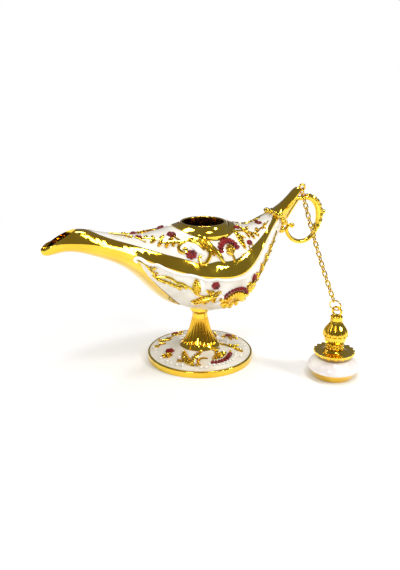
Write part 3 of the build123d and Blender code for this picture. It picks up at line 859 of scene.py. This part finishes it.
@dataclass
class CrownOrnament:
    """The carving on the top of the body: an acanthus scroll, flowers and sprays round the neck."""

    ribs: tuple[tuple[Point, ...], ...] = (
        (
            (-9.6, -11.0), (-8.3, -11.3), (-5.5, -11.5), (-3.4, -12.6), (-2.2, -14.3), (-1.0, -15.9),
            (0.3, -17.1), (1.7, -18.0), (2.9, -18.4),
        ),
        (
            (-9.2, -11.4), (-7.8, -11.8), (-5.7, -12.2), (-4.3, -13.3), (-3.1, -14.9), (-2.1, -16.3),
            (-1.2, -17.3),
        ),
        ((-8.9, -11.9), (-7.6, -12.3), (-6.0, -12.9), (-4.9, -14.0), (-4.2, -15.2), (-3.6, -16.2)),
        ((-8.6, -12.3), (-7.4, -12.9), (-6.4, -13.8), (-5.6, -14.9), (-5.1, -15.6)),
    )
    hook: tuple[Point, ...] = (
        (-3.5, -14.2), (-3.0, -15.8), (-3.0, -16.7), (-3.8, -17.4), (-5.2, -17.9), (-6.6, -18.0),
        (-7.7, -17.8), (-7.9, -17.0), (-7.2, -16.5),
    )
    arm: tuple[Point, ...] = (
        (-7.9, -11.2), (-10.2, -11.0), (-12.2, -11.5), (-14.0, -11.3), (-16.1, -10.5), (-18.9, -10.0),
        (-21.4, -8.8),
    )
    curl: tuple[Point, ...] = (
        (-11.4, -11.4), (-13.2, -11.8), (-14.9, -12.8), (-15.4, -14.0), (-14.4, -14.9), (-13.0, -15.0),
        (-12.2, -14.2), (-13.0, -13.5),
    )

    def build(self, ground: Ground, side: Side, finishes: Finishes, smoothing: Smoothing) -> None:
        """Lays the ornament on one side of the crown.

        Args:
            ground: The lamp's surface.
            side: The side.
            finishes: The gold, ruby and ivory materials.
            smoothing: The shading modifier.
        """
        work = Carving.opened(ground, Face.CROWN, side, finishes)
        self.front_spray(work)
        self.acanthus(work)
        self.flowers(work)
        self.tail_spray(work)
        work.finish(smoothing)

    def front_spray(self, work: Carving) -> None:
        """Lays the spray of buds and leaves towards the spout."""
        work.tendril(((-40.0, -1.0), (-36.0, -1.5), (-33.0, -2.1), (-30.6, -2.6)), (0.20, 0.36))
        work.bud((-28.6, -3.6), 2.3, 3.6, 1.0, turn=-50)
        work.tendril(((-30.0, -3.4), (-28.6, -5.4), (-27.6, -7.2)), (0.36, 0.26))
        work.knob((-27.4, -7.8), 0.45)
        work.frond((-26.8, -4.4), (-24.4, -2.6), 1.5, pairs=2)
        work.frond((-34.0, -1.9), (-31.6, -4.2), 1.3, pairs=2)
        work.tendril(((-27.4, -4.4), (-24.6, -5.4), (-22.0, -6.8), (-20.0, -8.2)), (0.32, 0.46))
        work.fronds((
            ((-22.6, -6.4), (-25.6, -9.0), 2.0, 3), ((-20.8, -7.6), (-18.4, -5.0), 1.8, 3),
            ((-20.4, -8.4), (-23.4, -11.4), 2.0, 3), ((-18.6, -9.8), (-20.4, -12.4), 1.9, 3),
            ((-18.0, -9.2), (-15.4, -8.3), 1.9, 3), ((-16.4, -10.4), (-17.4, -12.6), 1.7, 2),
            ((-23.6, -5.8), (-22.6, -3.6), 1.4, 2),
        ))
        work.bud((-15.4, -6.3), 3.0, 4.6, 1.15, turn=-48)
        work.tendril(((-14.9, -7.6), (-14.2, -9.2), (-13.4, -10.8)), (0.42, 0.42))

    def acanthus(self, work: Carving) -> None:
        """Lays the large scroll with its four ribs, its curls and the rosette beneath it."""
        for start, end, width, bend in (
            ((-10.4, -11.6), (-2.2, -14.9), 3.2, 0.9), ((-8.0, -12.3), (-1.4, -16.6), 3.2, 0.9),
            ((-3.7, -13.3), (2.6, -18.2), 2.4, 0.3),
        ):
            work.gold.motif(work.at(start), work.at(end), width, 0.6, bud_profile, bend, facets=(10, 9))
        for rib, thick in zip(self.ribs, (0.88, 0.84, 0.74, 0.60)):
            work.swelling(rib, 0.36, thick)
        work.tendril(self.hook, (0.50, 0.70, 0.78, 0.82, 0.86, 0.80, 0.72, 0.62, 0.52))
        work.knob((-7.4, -16.9), 0.62)
        work.tendril(self.arm, (0.80, 0.78, 0.74, 0.72, 0.66, 0.56, 0.38))
        work.tendril(self.curl, (0.60, 0.68, 0.72, 0.72, 0.68, 0.62, 0.56, 0.50))
        work.knob((-13.4, -13.9), 0.60)
        work.petal(work.ivory, (-11.0, -12.9), (-7.0, -16.2), 2.6, 0.6, 0.8)
        work.petal(work.ivory, (-9.6, -12.9), (-5.6, -16.9), 1.8, 0.7, 0.6)
        work.petal(work.ivory, (-17.4, -12.2), (-19.0, -15.0), 1.9, 0.45)
        work.bud((-10.8, -15.9), 4.3, 5.0, 1.35, 7)

    def flowers(self, work: Carving) -> None:
        """Lays the fan flower, the long leaf and the bud beside the neck."""
        outer = (
            (0.8, -16.3), (1.0, -15.2), (1.8, -14.2), (3.0, -13.3), (4.5, -12.8), (6.0, -12.6),
            (7.5, -12.8), (8.9, -13.3), (10.1, -14.0), (11.0, -14.9),
        )
        inner = (
            (3.5, -16.7), (3.6, -16.1), (4.0, -15.5), (4.6, -15.1), (5.4, -14.8), (6.2, -14.7),
            (7.0, -14.8), (7.7, -15.0), (8.3, -15.4), (8.7, -15.9),
        )
        work.crescent(work.ruby, inner, outer, 1.9, 1.25)
        root = (6.6, -17.3)
        for tip in ((4.3, -16.6), (4.5, -15.6), (5.4, -14.8), (6.5, -14.6), (7.6, -14.9), (8.4, -15.6)):
            work.petal(work.gold, root, tip, 1.15, 1.45)
        work.knob((6.7, -17.0), 0.62)
        work.tendril(((6.8, -17.0), (7.3, -17.5), (7.9, -18.1)), (0.48, 0.62))
        work.frond((11.8, -10.4), (13.9, -15.4), 2.8, 0.9, 5)
        work.frond((12.2, -10.8), (15.8, -11.6), 1.6, pairs=2)
        work.tendril(((10.4, -9.4), (11.6, -10.4), (12.6, -12.0)), (0.55, 0.45))
        work.knob((12.4, -16.6), 0.42)
        work.knob((11.6, -16.9), 0.34)
        work.bud((16.8, -13.1), 2.6, 2.8, 1.0, 5)
        work.tendril(((16.0, -14.2), (16.2, -15.0), (17.0, -15.4)), (0.30, 0.22))
        work.petal(work.gold, (17.4, -13.8), (18.4, -13.7), 0.9, 0.9)

    def tail_spray(self, work: Carving) -> None:
        """Lays the gold flower and the leaves that run to the tail."""
        x, y = (17.6, -7.4)
        for index in range(6):
            turn = 2 * math.pi * (index + 0.5) / 6
            work.petal(work.gold, (x, y), (x + 1.9 * math.cos(turn), y + 1.7 * math.sin(turn)), 1.4, 0.85)
        work.knob((x, y), 0.70)
        work.tendril(((10.6, -9.2), (13.3, -8.9), (15.6, -8.1), (17.2, -7.6)), (0.50, 0.46))
        work.tendril(
            ((18.6, -8.0), (21.1, -8.4), (23.5, -7.5), (26.2, -5.8), (28.9, -5.0), (31.2, -3.6)),
            (0.55, 0.26),
        )
        work.fronds((
            ((16.6, -6.6), (14.6, -4.4), 1.6, 2), ((18.4, -6.4), (20.6, -4.0), 1.7, 3),
            ((19.4, -8.6), (20.4, -11.4), 1.8, 3), ((17.4, -8.8), (17.9, -11.4), 1.6, 2),
            ((22.0, -8.2), (23.2, -10.2), 1.5, 2), ((23.6, -7.4), (24.6, -4.6), 1.7, 3),
            ((26.6, -5.7), (28.4, -7.0), 1.2, 2), ((28.0, -5.2), (29.6, -3.2), 1.2, 2),
        ))
        work.bud((14.0, -6.5), 1.8, 3.2, 0.95, turn=5)
        work.bud((27.9, -1.3), 1.7, 3.0, 0.95, turn=-60)


@dataclass
class FlankOrnament:
    """The carving on a side of the bowl: a vine, a feather leaf, buds, a comb and the tail's leaves."""

    vine: tuple[Point, ...] = (
        (-32.6, 52.0), (-31.3, 51.6), (-29.8, 50.5), (-28.6, 48.9), (-27.1, 47.2), (-26.0, 45.6),
        (-24.3, 45.2), (-22.3, 45.2), (-20.2, 44.4), (-18.3, 42.8), (-16.2, 42.2), (-14.2, 40.8),
        (-12.1, 39.2), (-10.2, 36.9), (-8.0, 35.7), (-5.4, 35.4),
    )
    shadow: tuple[Point, ...] = (
        (-27.0, 45.6), (-25.0, 44.1), (-22.3, 43.2), (-20.2, 42.0), (-18.1, 41.0), (-15.8, 40.2),
    )
    edge: tuple[Point, ...] = (
        (-32.5, 51.5), (-33.5, 52.4), (-33.0, 53.3), (-31.4, 52.9), (-29.4, 51.3), (-27.6, 50.6),
        (-25.4, 50.4), (-22.6, 48.8), (-19.4, 47.3), (-16.4, 46.2), (-12.8, 45.6), (-9.2, 44.3),
        (-6.0, 42.9), (-2.3, 42.9), (1.9, 42.0), (6.3, 41.8), (11.2, 42.1), (15.3, 43.5), (20.0, 46.4),
        (24.2, 49.8), (28.0, 53.2), (31.6, 56.6),
    )

    def build(self, ground: Ground, side: Side, finishes: Finishes, smoothing: Smoothing) -> None:
        """Lays the ornament on one flank.

        Args:
            ground: The lamp's surface.
            side: The side.
            finishes: The gold, ruby and ivory materials.
            smoothing: The shading modifier.
        """
        work = Carving.opened(ground, Face.FLANK, side, finishes)
        self.spout_vine(work)
        self.middle(work)
        self.comb(work)
        self.tail(work)
        work.finish(smoothing)

    def spout_vine(self, work: Carving) -> None:
        """Lays the ivory rolled edge with its hook, and the gold vine below it."""
        work.tendril(self.edge, [0.66] * 5 + [0.52] * (len(self.edge) - 5), work.ivory)
        work.swelling(self.vine, 0.36, 0.60)
        work.swelling(self.shadow, 0.30, 0.62)
        work.fronds((
            ((-28.8, 49.2), (-25.6, 49.0), 1.5, 2), ((-27.2, 46.8), (-25.0, 46.9), 1.2, 2),
            ((-25.4, 44.4), (-22.0, 42.2), 1.6, 3), ((-21.8, 43.0), (-18.0, 40.4), 1.9, 3),
            ((-19.0, 41.6), (-16.0, 39.0), 1.6, 3), ((-17.0, 41.2), (-13.4, 40.2), 1.5, 3),
        ))
        work.knobs((
            ((-26.8, 48.8), 0.68), ((-17.6, 42.0), 0.60), ((-16.6, 40.4), 0.62), ((-14.6, 40.0), 0.55),
        ))

    def middle(self, work: Carving) -> None:
        """Lays the feather leaf, the round bud and the leaves under it."""
        work.frond((-9.3, 36.8), (-10.9, 44.0), 3.6, 1.0, 6, 0.5)
        work.petal(work.ivory, (-8.0, 37.6), (-9.2, 43.6), 2.0, 0.6, -0.5)
        work.bud((-2.5, 40.1), 3.6, 3.8, 1.35, 6)
        work.knob((-3.4, 37.3), 0.80)
        work.fronds((
            ((-3.2, 36.2), (-6.4, 38.6), 1.9, 3), ((-2.8, 36.0), (0.4, 37.0), 1.8, 3),
            ((-3.6, 34.9), (-11.0, 32.6), 3.2, 6), ((-4.4, 33.8), (-9.4, 31.2), 2.2, 4),
            ((-3.2, 34.4), (-5.6, 30.8), 2.2, 3), ((-2.4, 34.6), (-1.6, 31.6), 2.0, 3),
        ), height=1.0)
        work.swelling(((-6.4, 35.2), (-4.4, 35.3), (-2.4, 35.0), (-0.8, 35.2)), 0.55, 0.85)
        work.knob((-3.6, 35.2), 0.95)
        work.tendril(
            ((-0.9, 30.9), (0.9, 31.2), (1.9, 32.9), (1.2, 34.6), (-0.4, 34.6), (-0.6, 33.3)),
            (0.50, 0.62, 0.66, 0.62, 0.55, 0.48), work.ivory,
        )

    def comb(self, work: Carving) -> None:
        """Lays the wide ruby comb over its scalloped gold petals."""
        heart = (7.9, 28.4)
        outer, middle, inner = [], [], []
        for index in range(11):
            share = index / 10
            turn = math.radians(134 - share * 90)
            reach = 9.7 - 1.0 * (2 * share - 1) ** 2
            for line, part in ((outer, 1.0), (middle, 0.80), (inner, 0.30)):
                line.append(
                    (heart[0] + reach * part * math.cos(turn), heart[1] + reach * part * math.sin(turn)),
                )
        work.crescent(work.ruby, middle, outer, 1.45, 1.25)
        work.crescent(work.gold, inner, middle, 1.9, 1.6)
        for start, end, width in (
            ((4.6, 31.8), (1.6, 33.4), 2.0), ((5.0, 31.2), (1.2, 30.4), 2.4),
            ((5.8, 30.6), (3.4, 27.8), 2.4), ((7.6, 30.4), (6.6, 27.0), 2.4),
            ((9.2, 30.8), (10.2, 27.8), 2.4), ((10.6, 31.4), (13.6, 29.4), 2.4),
            ((12.0, 32.6), (16.4, 31.6), 2.4), ((13.0, 33.8), (18.4, 33.2), 2.2),
            ((13.6, 34.8), (17.6, 36.4), 2.4), ((14.6, 34.0), (19.6, 35.2), 2.4),
            ((15.0, 36.6), (18.0, 38.4), 2.0), ((11.8, 30.6), (16.0, 28.8), 2.2),
            ((3.0, 34.0), (0.6, 32.0), 1.8), ((13.4, 35.6), (14.2, 38.4), 1.8),
        ):
            work.petal(work.gold, start, end, width, 1.5)
        work.knobs((
            ((5.0, 31.2), 0.80), ((6.8, 30.6), 0.90), ((8.8, 30.9), 0.90), ((10.8, 31.8), 0.85),
            ((12.6, 33.0), 0.80),
        ))

    def tail(self, work: Carving) -> None:
        """Lays the bud and the leaves that climb the tail."""
        work.bud((17.0, 40.0), 3.4, 2.6, 1.2, 5, 15)
        work.swelling(
            (
                (13.6, 34.4), (16.4, 35.6), (19.4, 37.4), (22.2, 39.8), (25.0, 42.9), (27.8, 46.0),
                (30.2, 49.0), (32.4, 52.4), (34.4, 55.6),
            ),
            0.35, 0.70,
        )
        work.fronds((
            ((15.4, 35.4), (21.4, 34.2), 2.4, 4), ((15.6, 36.0), (14.6, 38.6), 1.7, 2),
            ((18.6, 37.2), (22.8, 36.6), 2.0, 3), ((19.6, 38.2), (19.4, 41.6), 1.8, 3),
            ((22.4, 40.4), (26.0, 40.0), 1.9, 3), ((23.0, 41.0), (22.8, 44.6), 1.7, 3),
            ((25.4, 43.8), (28.8, 43.8), 1.7, 3), ((26.2, 44.6), (26.0, 47.8), 1.6, 3),
            ((28.4, 47.0), (31.4, 47.4), 1.5, 2), ((29.2, 48.0), (29.2, 51.0), 1.4, 2),
            ((31.2, 50.6), (33.4, 51.4), 1.2, 2),
        ), height=0.9)
        work.knobs((
            ((17.6, 36.6), 0.75), ((21.0, 39.0), 0.70), ((24.2, 42.2), 0.66), ((27.2, 45.6), 0.60),
            ((30.2, 49.4), 0.52),
        ))


@dataclass
class FootOrnament:
    """The carving on the foot: leaves, buds and a comb flower in a ring round the stem."""

    beads: tuple[Point, ...] = (
        (-18.6, 9.5), (-18.8, 6.4), (-19.8, -2.9), (-18.4, -7.0), (-17.6, -9.2), (-15.9, -11.9),
        (-14.0, -13.6), (-7.6, -18.4), (-5.6, -19.2), (12.8, -15.4), (20.1, -3.0), (19.8, -5.4),
        (18.8, -8.4), (-9.9, -4.6), (21.0, 4.4), (-6.4, 19.6), (13.0, -1.6), (-12.9, -7.4), (5.0, 19.6),
        (8.0, 18.4), (14.6, 13.6), (-3.0, 13.0), (9.0, 9.0),
    )

    def build(self, ground: Ground, finishes: Finishes, smoothing: Smoothing) -> None:
        """Lays the ornament round the foot.

        Args:
            ground: The foot's surface.
            finishes: The gold, ruby and ivory materials.
            smoothing: The shading modifier.
        """
        work = Carving.opened(ground, Face.FOOT, Side.NEAR, finishes)
        self.leaves(work)
        self.flowers(work)
        self.back(work)
        for place in self.beads:
            work.knob(place, 0.58, work.ivory)
        work.finish(smoothing)

    def leaves(self, work: Carving) -> None:
        """Lays the pair of long leaves, the scroll, the palm leaf and the leaves at the right."""
        work.frond((-10.9, -14.2), (-9.4, -3.6), 3.6, 1.0, 6, 0.7)
        work.frond((-10.0, -13.4), (-2.4, -8.2), 3.0, 1.0, 5, 0.4)
        work.tendril(((-10.8, -13.4), (-10.6, -14.6), (-9.6, -15.8)), (0.75, 0.65))
        work.knob((-10.4, -14.4), 0.95)
        work.swelling(
            ((-2.4, -13.6), (-4.4, -12.7), (-6.3, -13.2), (-7.4, -14.6), (-7.6, -16.0), (-6.9, -16.8)),
            0.38, 0.62,
        )
        work.swelling(((-4.2, -11.4), (-6.2, -11.4), (-7.8, -12.6), (-8.9, -14.6)), 0.36, 0.50, work.ivory)
        work.knob((-8.6, -16.2), 0.75)
        work.star(
            (3.0, -9.6),
            ((0.4, -8.2), (1.6, -7.4), (3.0, -7.6), (4.9, -7.3), (6.1, -8.2), (4.2, -11.4), (2.0, -12.0)),
            1.0, 0.85,
        )
        work.frond((10.6, -5.6), (7.4, -5.0), 1.6, pairs=3)
        work.frond((11.0, -5.8), (17.0, -5.4), 2.2, 0.9, 4)
        work.frond((13.2, -7.6), (16.0, -11.4), 2.2, 0.9, 4)
        work.tendril(((10.4, -6.0), (12.2, -6.8), (14.0, -8.4), (15.8, -11.0)), (0.60, 0.36))
        work.knob((9.6, -11.2), 0.62)
        work.star((-13.8, -9.8), ((-15.2, -9.2), (-14.2, -7.8), (-12.8, -8.6), (-13.2, -11.2)), 0.9, 0.65)

    def flowers(self, work: Carving) -> None:
        """Lays the comb flower and the buds in their leaves."""
        outer = (
            (-2.2, -17.4), (-0.6, -18.0), (1.2, -18.2), (3.0, -18.0), (4.8, -17.4), (6.4, -16.6),
            (7.8, -15.4), (9.0, -14.2), (10.0, -12.9),
        )
        inner = (
            (-0.6, -15.6), (0.5, -15.8), (1.6, -15.8), (2.8, -15.6), (4.0, -15.2), (5.1, -14.6),
            (6.1, -13.8), (7.0, -13.0), (7.7, -12.2),
        )
        work.crescent(work.ruby, inner, outer, 1.5, 1.15)
        for place in (
            (-3.4, -17.6), (-1.6, -18.7), (0.4, -19.1), (2.4, -19.1), (4.4, -18.8), (6.2, -18.0),
            (7.9, -17.0), (9.4, -15.7), (10.7, -14.2), (11.4, -12.8),
        ):
            work.knob(place, 0.52, work.ivory)
        root = (3.4, -11.4)
        for tip in (
            (-0.8, -15.2), (0.8, -15.4), (2.4, -15.4), (4.0, -15.0), (5.4, -14.2), (6.6, -13.2),
            (7.6, -12.0),
        ):
            work.petal(work.gold, root, tip, 1.4, 1.3)
        work.bud((-14.4, 0.3), 3.2, 4.6, 1.2, 5, -40)
        for tip in ((-19.0, -1.2), (-18.8, -3.4), (-17.0, -4.9), (-15.0, -4.2)):
            work.frond((-15.9, -1.5), tip, 1.8, 1.0, 2)
        work.knob((-16.4, -2.2), 0.85)
        work.bud((17.8, 7.0), 2.2, 4.2, 1.1, 5, -60)
        for start, end in (
            ((16.0, 6.2), (13.6, 5.2)), ((16.8, 5.0), (16.8, 1.4)), ((18.6, 4.8), (20.4, 2.2)),
            ((19.4, 7.0), (21.0, 6.2)),
        ):
            work.frond(start, end, 1.7, 0.9, 2)

    def back(self, work: Carving) -> None:
        """Lays the branch and the flowers behind the stem."""
        work.bud((-4.3, 19.9), 2.2, 4.4, 1.05, 5, 10)
        work.frond((-6.0, 18.6), (-1.4, 17.2), 1.8, 0.9, 3)
        work.frond((-2.0, 20.6), (0.6, 20.6), 1.4, 0.8, 2)
        work.swelling(((-17.2, 8.0), (-15.0, 11.2), (-13.2, 14.0), (-10.0, 15.6), (-6.2, 16.6)), 0.30, 0.48)
        for start, end in (
            ((-15.0, 11.2), (-12.6, 9.6)), ((-13.2, 14.0), (-13.4, 17.4)), ((-12.6, 14.2), (-9.6, 12.4)),
            ((-16.6, 8.8), (-18.2, 11.4)), ((-9.6, 15.6), (-8.6, 12.8)),
        ):
            work.frond(start, end, 1.6, 0.8, 3)
        work.frond((11.4, 14.2), (9.8, 4.6), 3.2, 1.0, 5, 0.6)
        work.frond((10.8, 14.4), (2.6, 11.6), 2.8, 1.0, 4, -0.4)
        work.knob((11.2, 14.6), 0.90)
        work.bud((4.6, 15.6), 3.0, 4.0, 1.1, 6)


@dataclass
class TailTrim:
    """The beads of the tail's ferrule, and the leaves of the handle."""

    nodes: dict[str, bpy.types.Object]
    ferrule_beads: int = 15
    ferrule_lean: float = 52.0
    ferrule_radius: float = 0.009
    bead_radius: float = 1.15
    bead_sink: float = 0.5
    leaf_width: float = 2.1
    leaf_height: float = 0.95
    leaf_shift: float = 0.0007
    rim: tuple[Point, ...] = (
        (52.2, 68.9), (54.8, 68.5), (57.2, 67.3), (59.0, 65.6), (60.2, 63.4), (60.6, 60.8), (60.4, 58.2),
        (59.6, 55.8), (58.4, 53.6),
    )

    def build(self, finishes: Finishes, smoothing: Smoothing) -> None:
        """Lays the trim.

        Args:
            finishes: The gold, ruby and ivory materials.
            smoothing: The shading modifier.
        """
        self.ferrule(finishes, smoothing)
        self.handle(finishes, smoothing)

    def ferrule(self, finishes: Finishes, smoothing: Smoothing) -> None:
        """Seats a row of beads round the ferrule."""
        ground = Ground(self.nodes, ("tail_ferrule",))
        low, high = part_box("tail_ferrule")
        middle = (low + high) / 2
        lean = math.radians(self.ferrule_lean)
        across, up = Vector((0, 1, 0)), Vector((-math.sin(lean), 0, math.cos(lean)))
        beads = Relief("ferrule_beads", ground, finishes["gold"])
        for index in range(self.ferrule_beads):
            turn = 2 * math.pi * index / self.ferrule_beads
            way = across * math.cos(turn) + up * math.sin(turn)
            beads.bead(middle + way * self.ferrule_radius, self.bead_radius, self.bead_sink)
        beads.finish_piece("lamp", smoothing, "gold_cast")

    def handle(self, finishes: Finishes, smoothing: Smoothing) -> None:
        """Lays leaves along the scroll's outer edge."""
        ground = Ground(self.nodes, ("handle_scroll",))
        trim = Relief("handle_leaves", ground, finishes["gold"])
        for (x, z), (ahead_x, ahead_z) in zip(self.rim, self.rim[1:]):
            start, end = Vector((x, 0, z)) * MM, Vector((ahead_x, 0, ahead_z)) * MM
            step = end - start
            for side in (-1, 1):
                shift = Vector((0, side * self.leaf_shift, 0))
                foot, _ = ground.rest(start + shift)
                tip, _ = ground.rest(end + step * 0.3 + shift * 1.6)
                trim.motif(foot, tip, self.leaf_width, self.leaf_height, drop_profile, facets=(8, 7))
        trim.finish_piece("lamp", smoothing, "gold_cast")


@dataclass
class Studio:
    """The white floor, the lamps and the camera."""

    floor_reach: float = 8.0
    shadow_reach: float = 0.13
    eye_mm: tuple[float, float, float] = (-109.8, -246.7, 125.3)
    heading: float = -24.0
    pitch: float = 18.8
    focal_pixels: float = 653.0
    picture_height: float = 570.0
    sensor: float = 36.0
    room_light: float = 0.68
    room_mirror: float = 0.17
    aim_height: float = 0.03
    clip: tuple[float, float] = (0.01, 20.0)

    def sweep(self) -> None:
        """Makes the white floor, which runs on far behind the object."""
        mesh = bmesh.new()
        bmesh.ops.create_grid(mesh, x_segments=4, y_segments=4, size=self.floor_reach)
        data = bpy.data.meshes.new("floor")
        mesh.to_mesh(data)
        mesh.free()
        for polygon in data.polygons:
            polygon.use_smooth = True
        floor = bpy.data.objects.new("floor", data)
        bpy.context.scene.collection.objects.link(floor)
        bench = Bench.opened("white_floor")
        shader = bench.add("BsdfPrincipled", Roughness=0.9)
        shade = bench.ramp(bench.noise(8.0, 2.0), ((0.3, (0.92, 0.92, 0.92)), (0.7, (0.94, 0.94, 0.94))))
        bench.join(shade, shader.inputs["Base Color"])
        glow = bench.add("Emission", Strength=1.0)
        place = bench.add("TexCoord")
        reach = bench.add("VectorMath", operation="LENGTH")
        bench.join(place.outputs["Object"], reach.inputs[0])
        away = bench.add("MapRange", From_Min=self.shadow_reach, From_Max=self.shadow_reach * 2.4)
        bench.join(reach.outputs["Value"], away.inputs["Value"])
        seen = bench.add("Math", operation="MULTIPLY")
        bench.join(away.outputs["Result"], seen.inputs[0])
        bench.join(bench.add("LightPath").outputs["Is Camera Ray"], seen.inputs[1])
        both = bench.add("MixShader")
        bench.join(seen.outputs["Value"], both.inputs["Fac"])
        bench.join(shader.outputs[0], both.inputs[1])
        bench.join(glow.outputs[0], both.inputs[2])
        data.materials.append(bench.surface(both))

    def lamp(
        self, name: str, place: tuple[float, float, float], size: tuple[float, float], power: float,
    ) -> None:
        """Hangs one soft lamp that faces the middle of the object.

        Args:
            name: The lamp's name.
            place: Where it hangs, in metres.
            size: Its width and height in metres.
            power: Its power in watts.
        """
        light = bpy.data.lights.new(name, "AREA")
        light.shape = "RECTANGLE"
        light.size, light.size_y = size
        light.energy = power
        holder = bpy.data.objects.new(name, light)
        holder.location = place
        aim = Vector((0, 0, self.aim_height)) - Vector(place)
        holder.rotation_euler = aim.to_track_quat("-Z", "Y").to_euler()
        bpy.context.scene.collection.objects.link(holder)

    def world(self) -> None:
        """Sets the room: white behind the object, soft light on it, and dim in its reflections."""
        world = bpy.data.worlds.new("room")
        world.use_nodes = True
        tree = world.node_tree
        ground = tree.nodes["Background"]
        path = tree.nodes.new("ShaderNodeLightPath")
        seen, mirrored = tree.nodes.new("ShaderNodeMix"), tree.nodes.new("ShaderNodeMix")
        mirrored.inputs["A"].default_value = self.room_light
        mirrored.inputs["B"].default_value = self.room_mirror
        seen.inputs["B"].default_value = 1.0
        tree.links.new(path.outputs["Is Glossy Ray"], mirrored.inputs["Factor"])
        tree.links.new(path.outputs["Is Camera Ray"], seen.inputs["Factor"])
        tree.links.new(mirrored.outputs["Result"], seen.inputs["A"])
        tree.links.new(seen.outputs["Result"], ground.inputs["Strength"])
        ground.inputs["Color"].default_value = (1, 1, 1, 1)
        bpy.context.scene.world = world

    def camera(self) -> None:
        """Sets the camera where the picture was taken from."""
        data = bpy.data.cameras.new("camera")
        data.sensor_width = self.sensor
        data.lens = self.sensor * self.focal_pixels / self.picture_height
        data.clip_start, data.clip_end = self.clip
        holder = bpy.data.objects.new("camera", data)
        holder.location = [value * MM for value in self.eye_mm]
        holder.rotation_euler = (math.radians(90 - self.pitch), 0, math.radians(self.heading))
        bpy.context.scene.collection.objects.link(holder)
        bpy.context.scene.camera = holder

    def build(self) -> None:
        """Sets the whole studio up."""
        self.sweep()
        self.world()
        self.lamp("key", (-0.50, -0.50, 0.50), (0.16, 0.24), 1.5)
        self.lamp("fill", (0.37, -0.41, 0.43), (0.13, 0.13), 1.5)
        self.lamp("turn", (0.14, -0.17, 0.77), (0.18, 0.14), 1.1)
        self.lamp("top", (0.12, 0.32, 0.76), (0.16, 0.14), 1.3)
        self.camera()
        bpy.context.scene.view_settings.view_transform = "Standard"
        log.info("studio: sweep, four lamps and the camera")


def main() -> None:
    """Builds the dressed lamp, class by class."""
    logging.basicConfig(level=logging.INFO, format="%(name)s %(message)s")
    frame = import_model()
    nodes = frame["nodes"]
    smoothing = Smoothing()
    Castings(nodes, smoothing).dress()
    finishes = {
        "gold": RELIEF_GOLD.material(), "ruby": RUBY_ENAMEL.material(),
        "ivory": bpy.data.materials[IVORY_ENAMEL.name],
    }
    body = Ground(
        nodes, ("lower_shell", "upper_shell", "upper_enamel", "lower_enamel_near", "lower_enamel_far"),
    )
    foot = Ground(nodes, ("foot_base", "foot_enamel"))
    for side in Side:
        CrownOrnament().build(body, side, finishes, smoothing)
        FlankOrnament().build(body, side, finishes, smoothing)
    FootOrnament().build(foot, finishes, smoothing)
    TailTrim(nodes).build(finishes, smoothing)
    Studio().build()


if __name__ == "__main__":
    main()
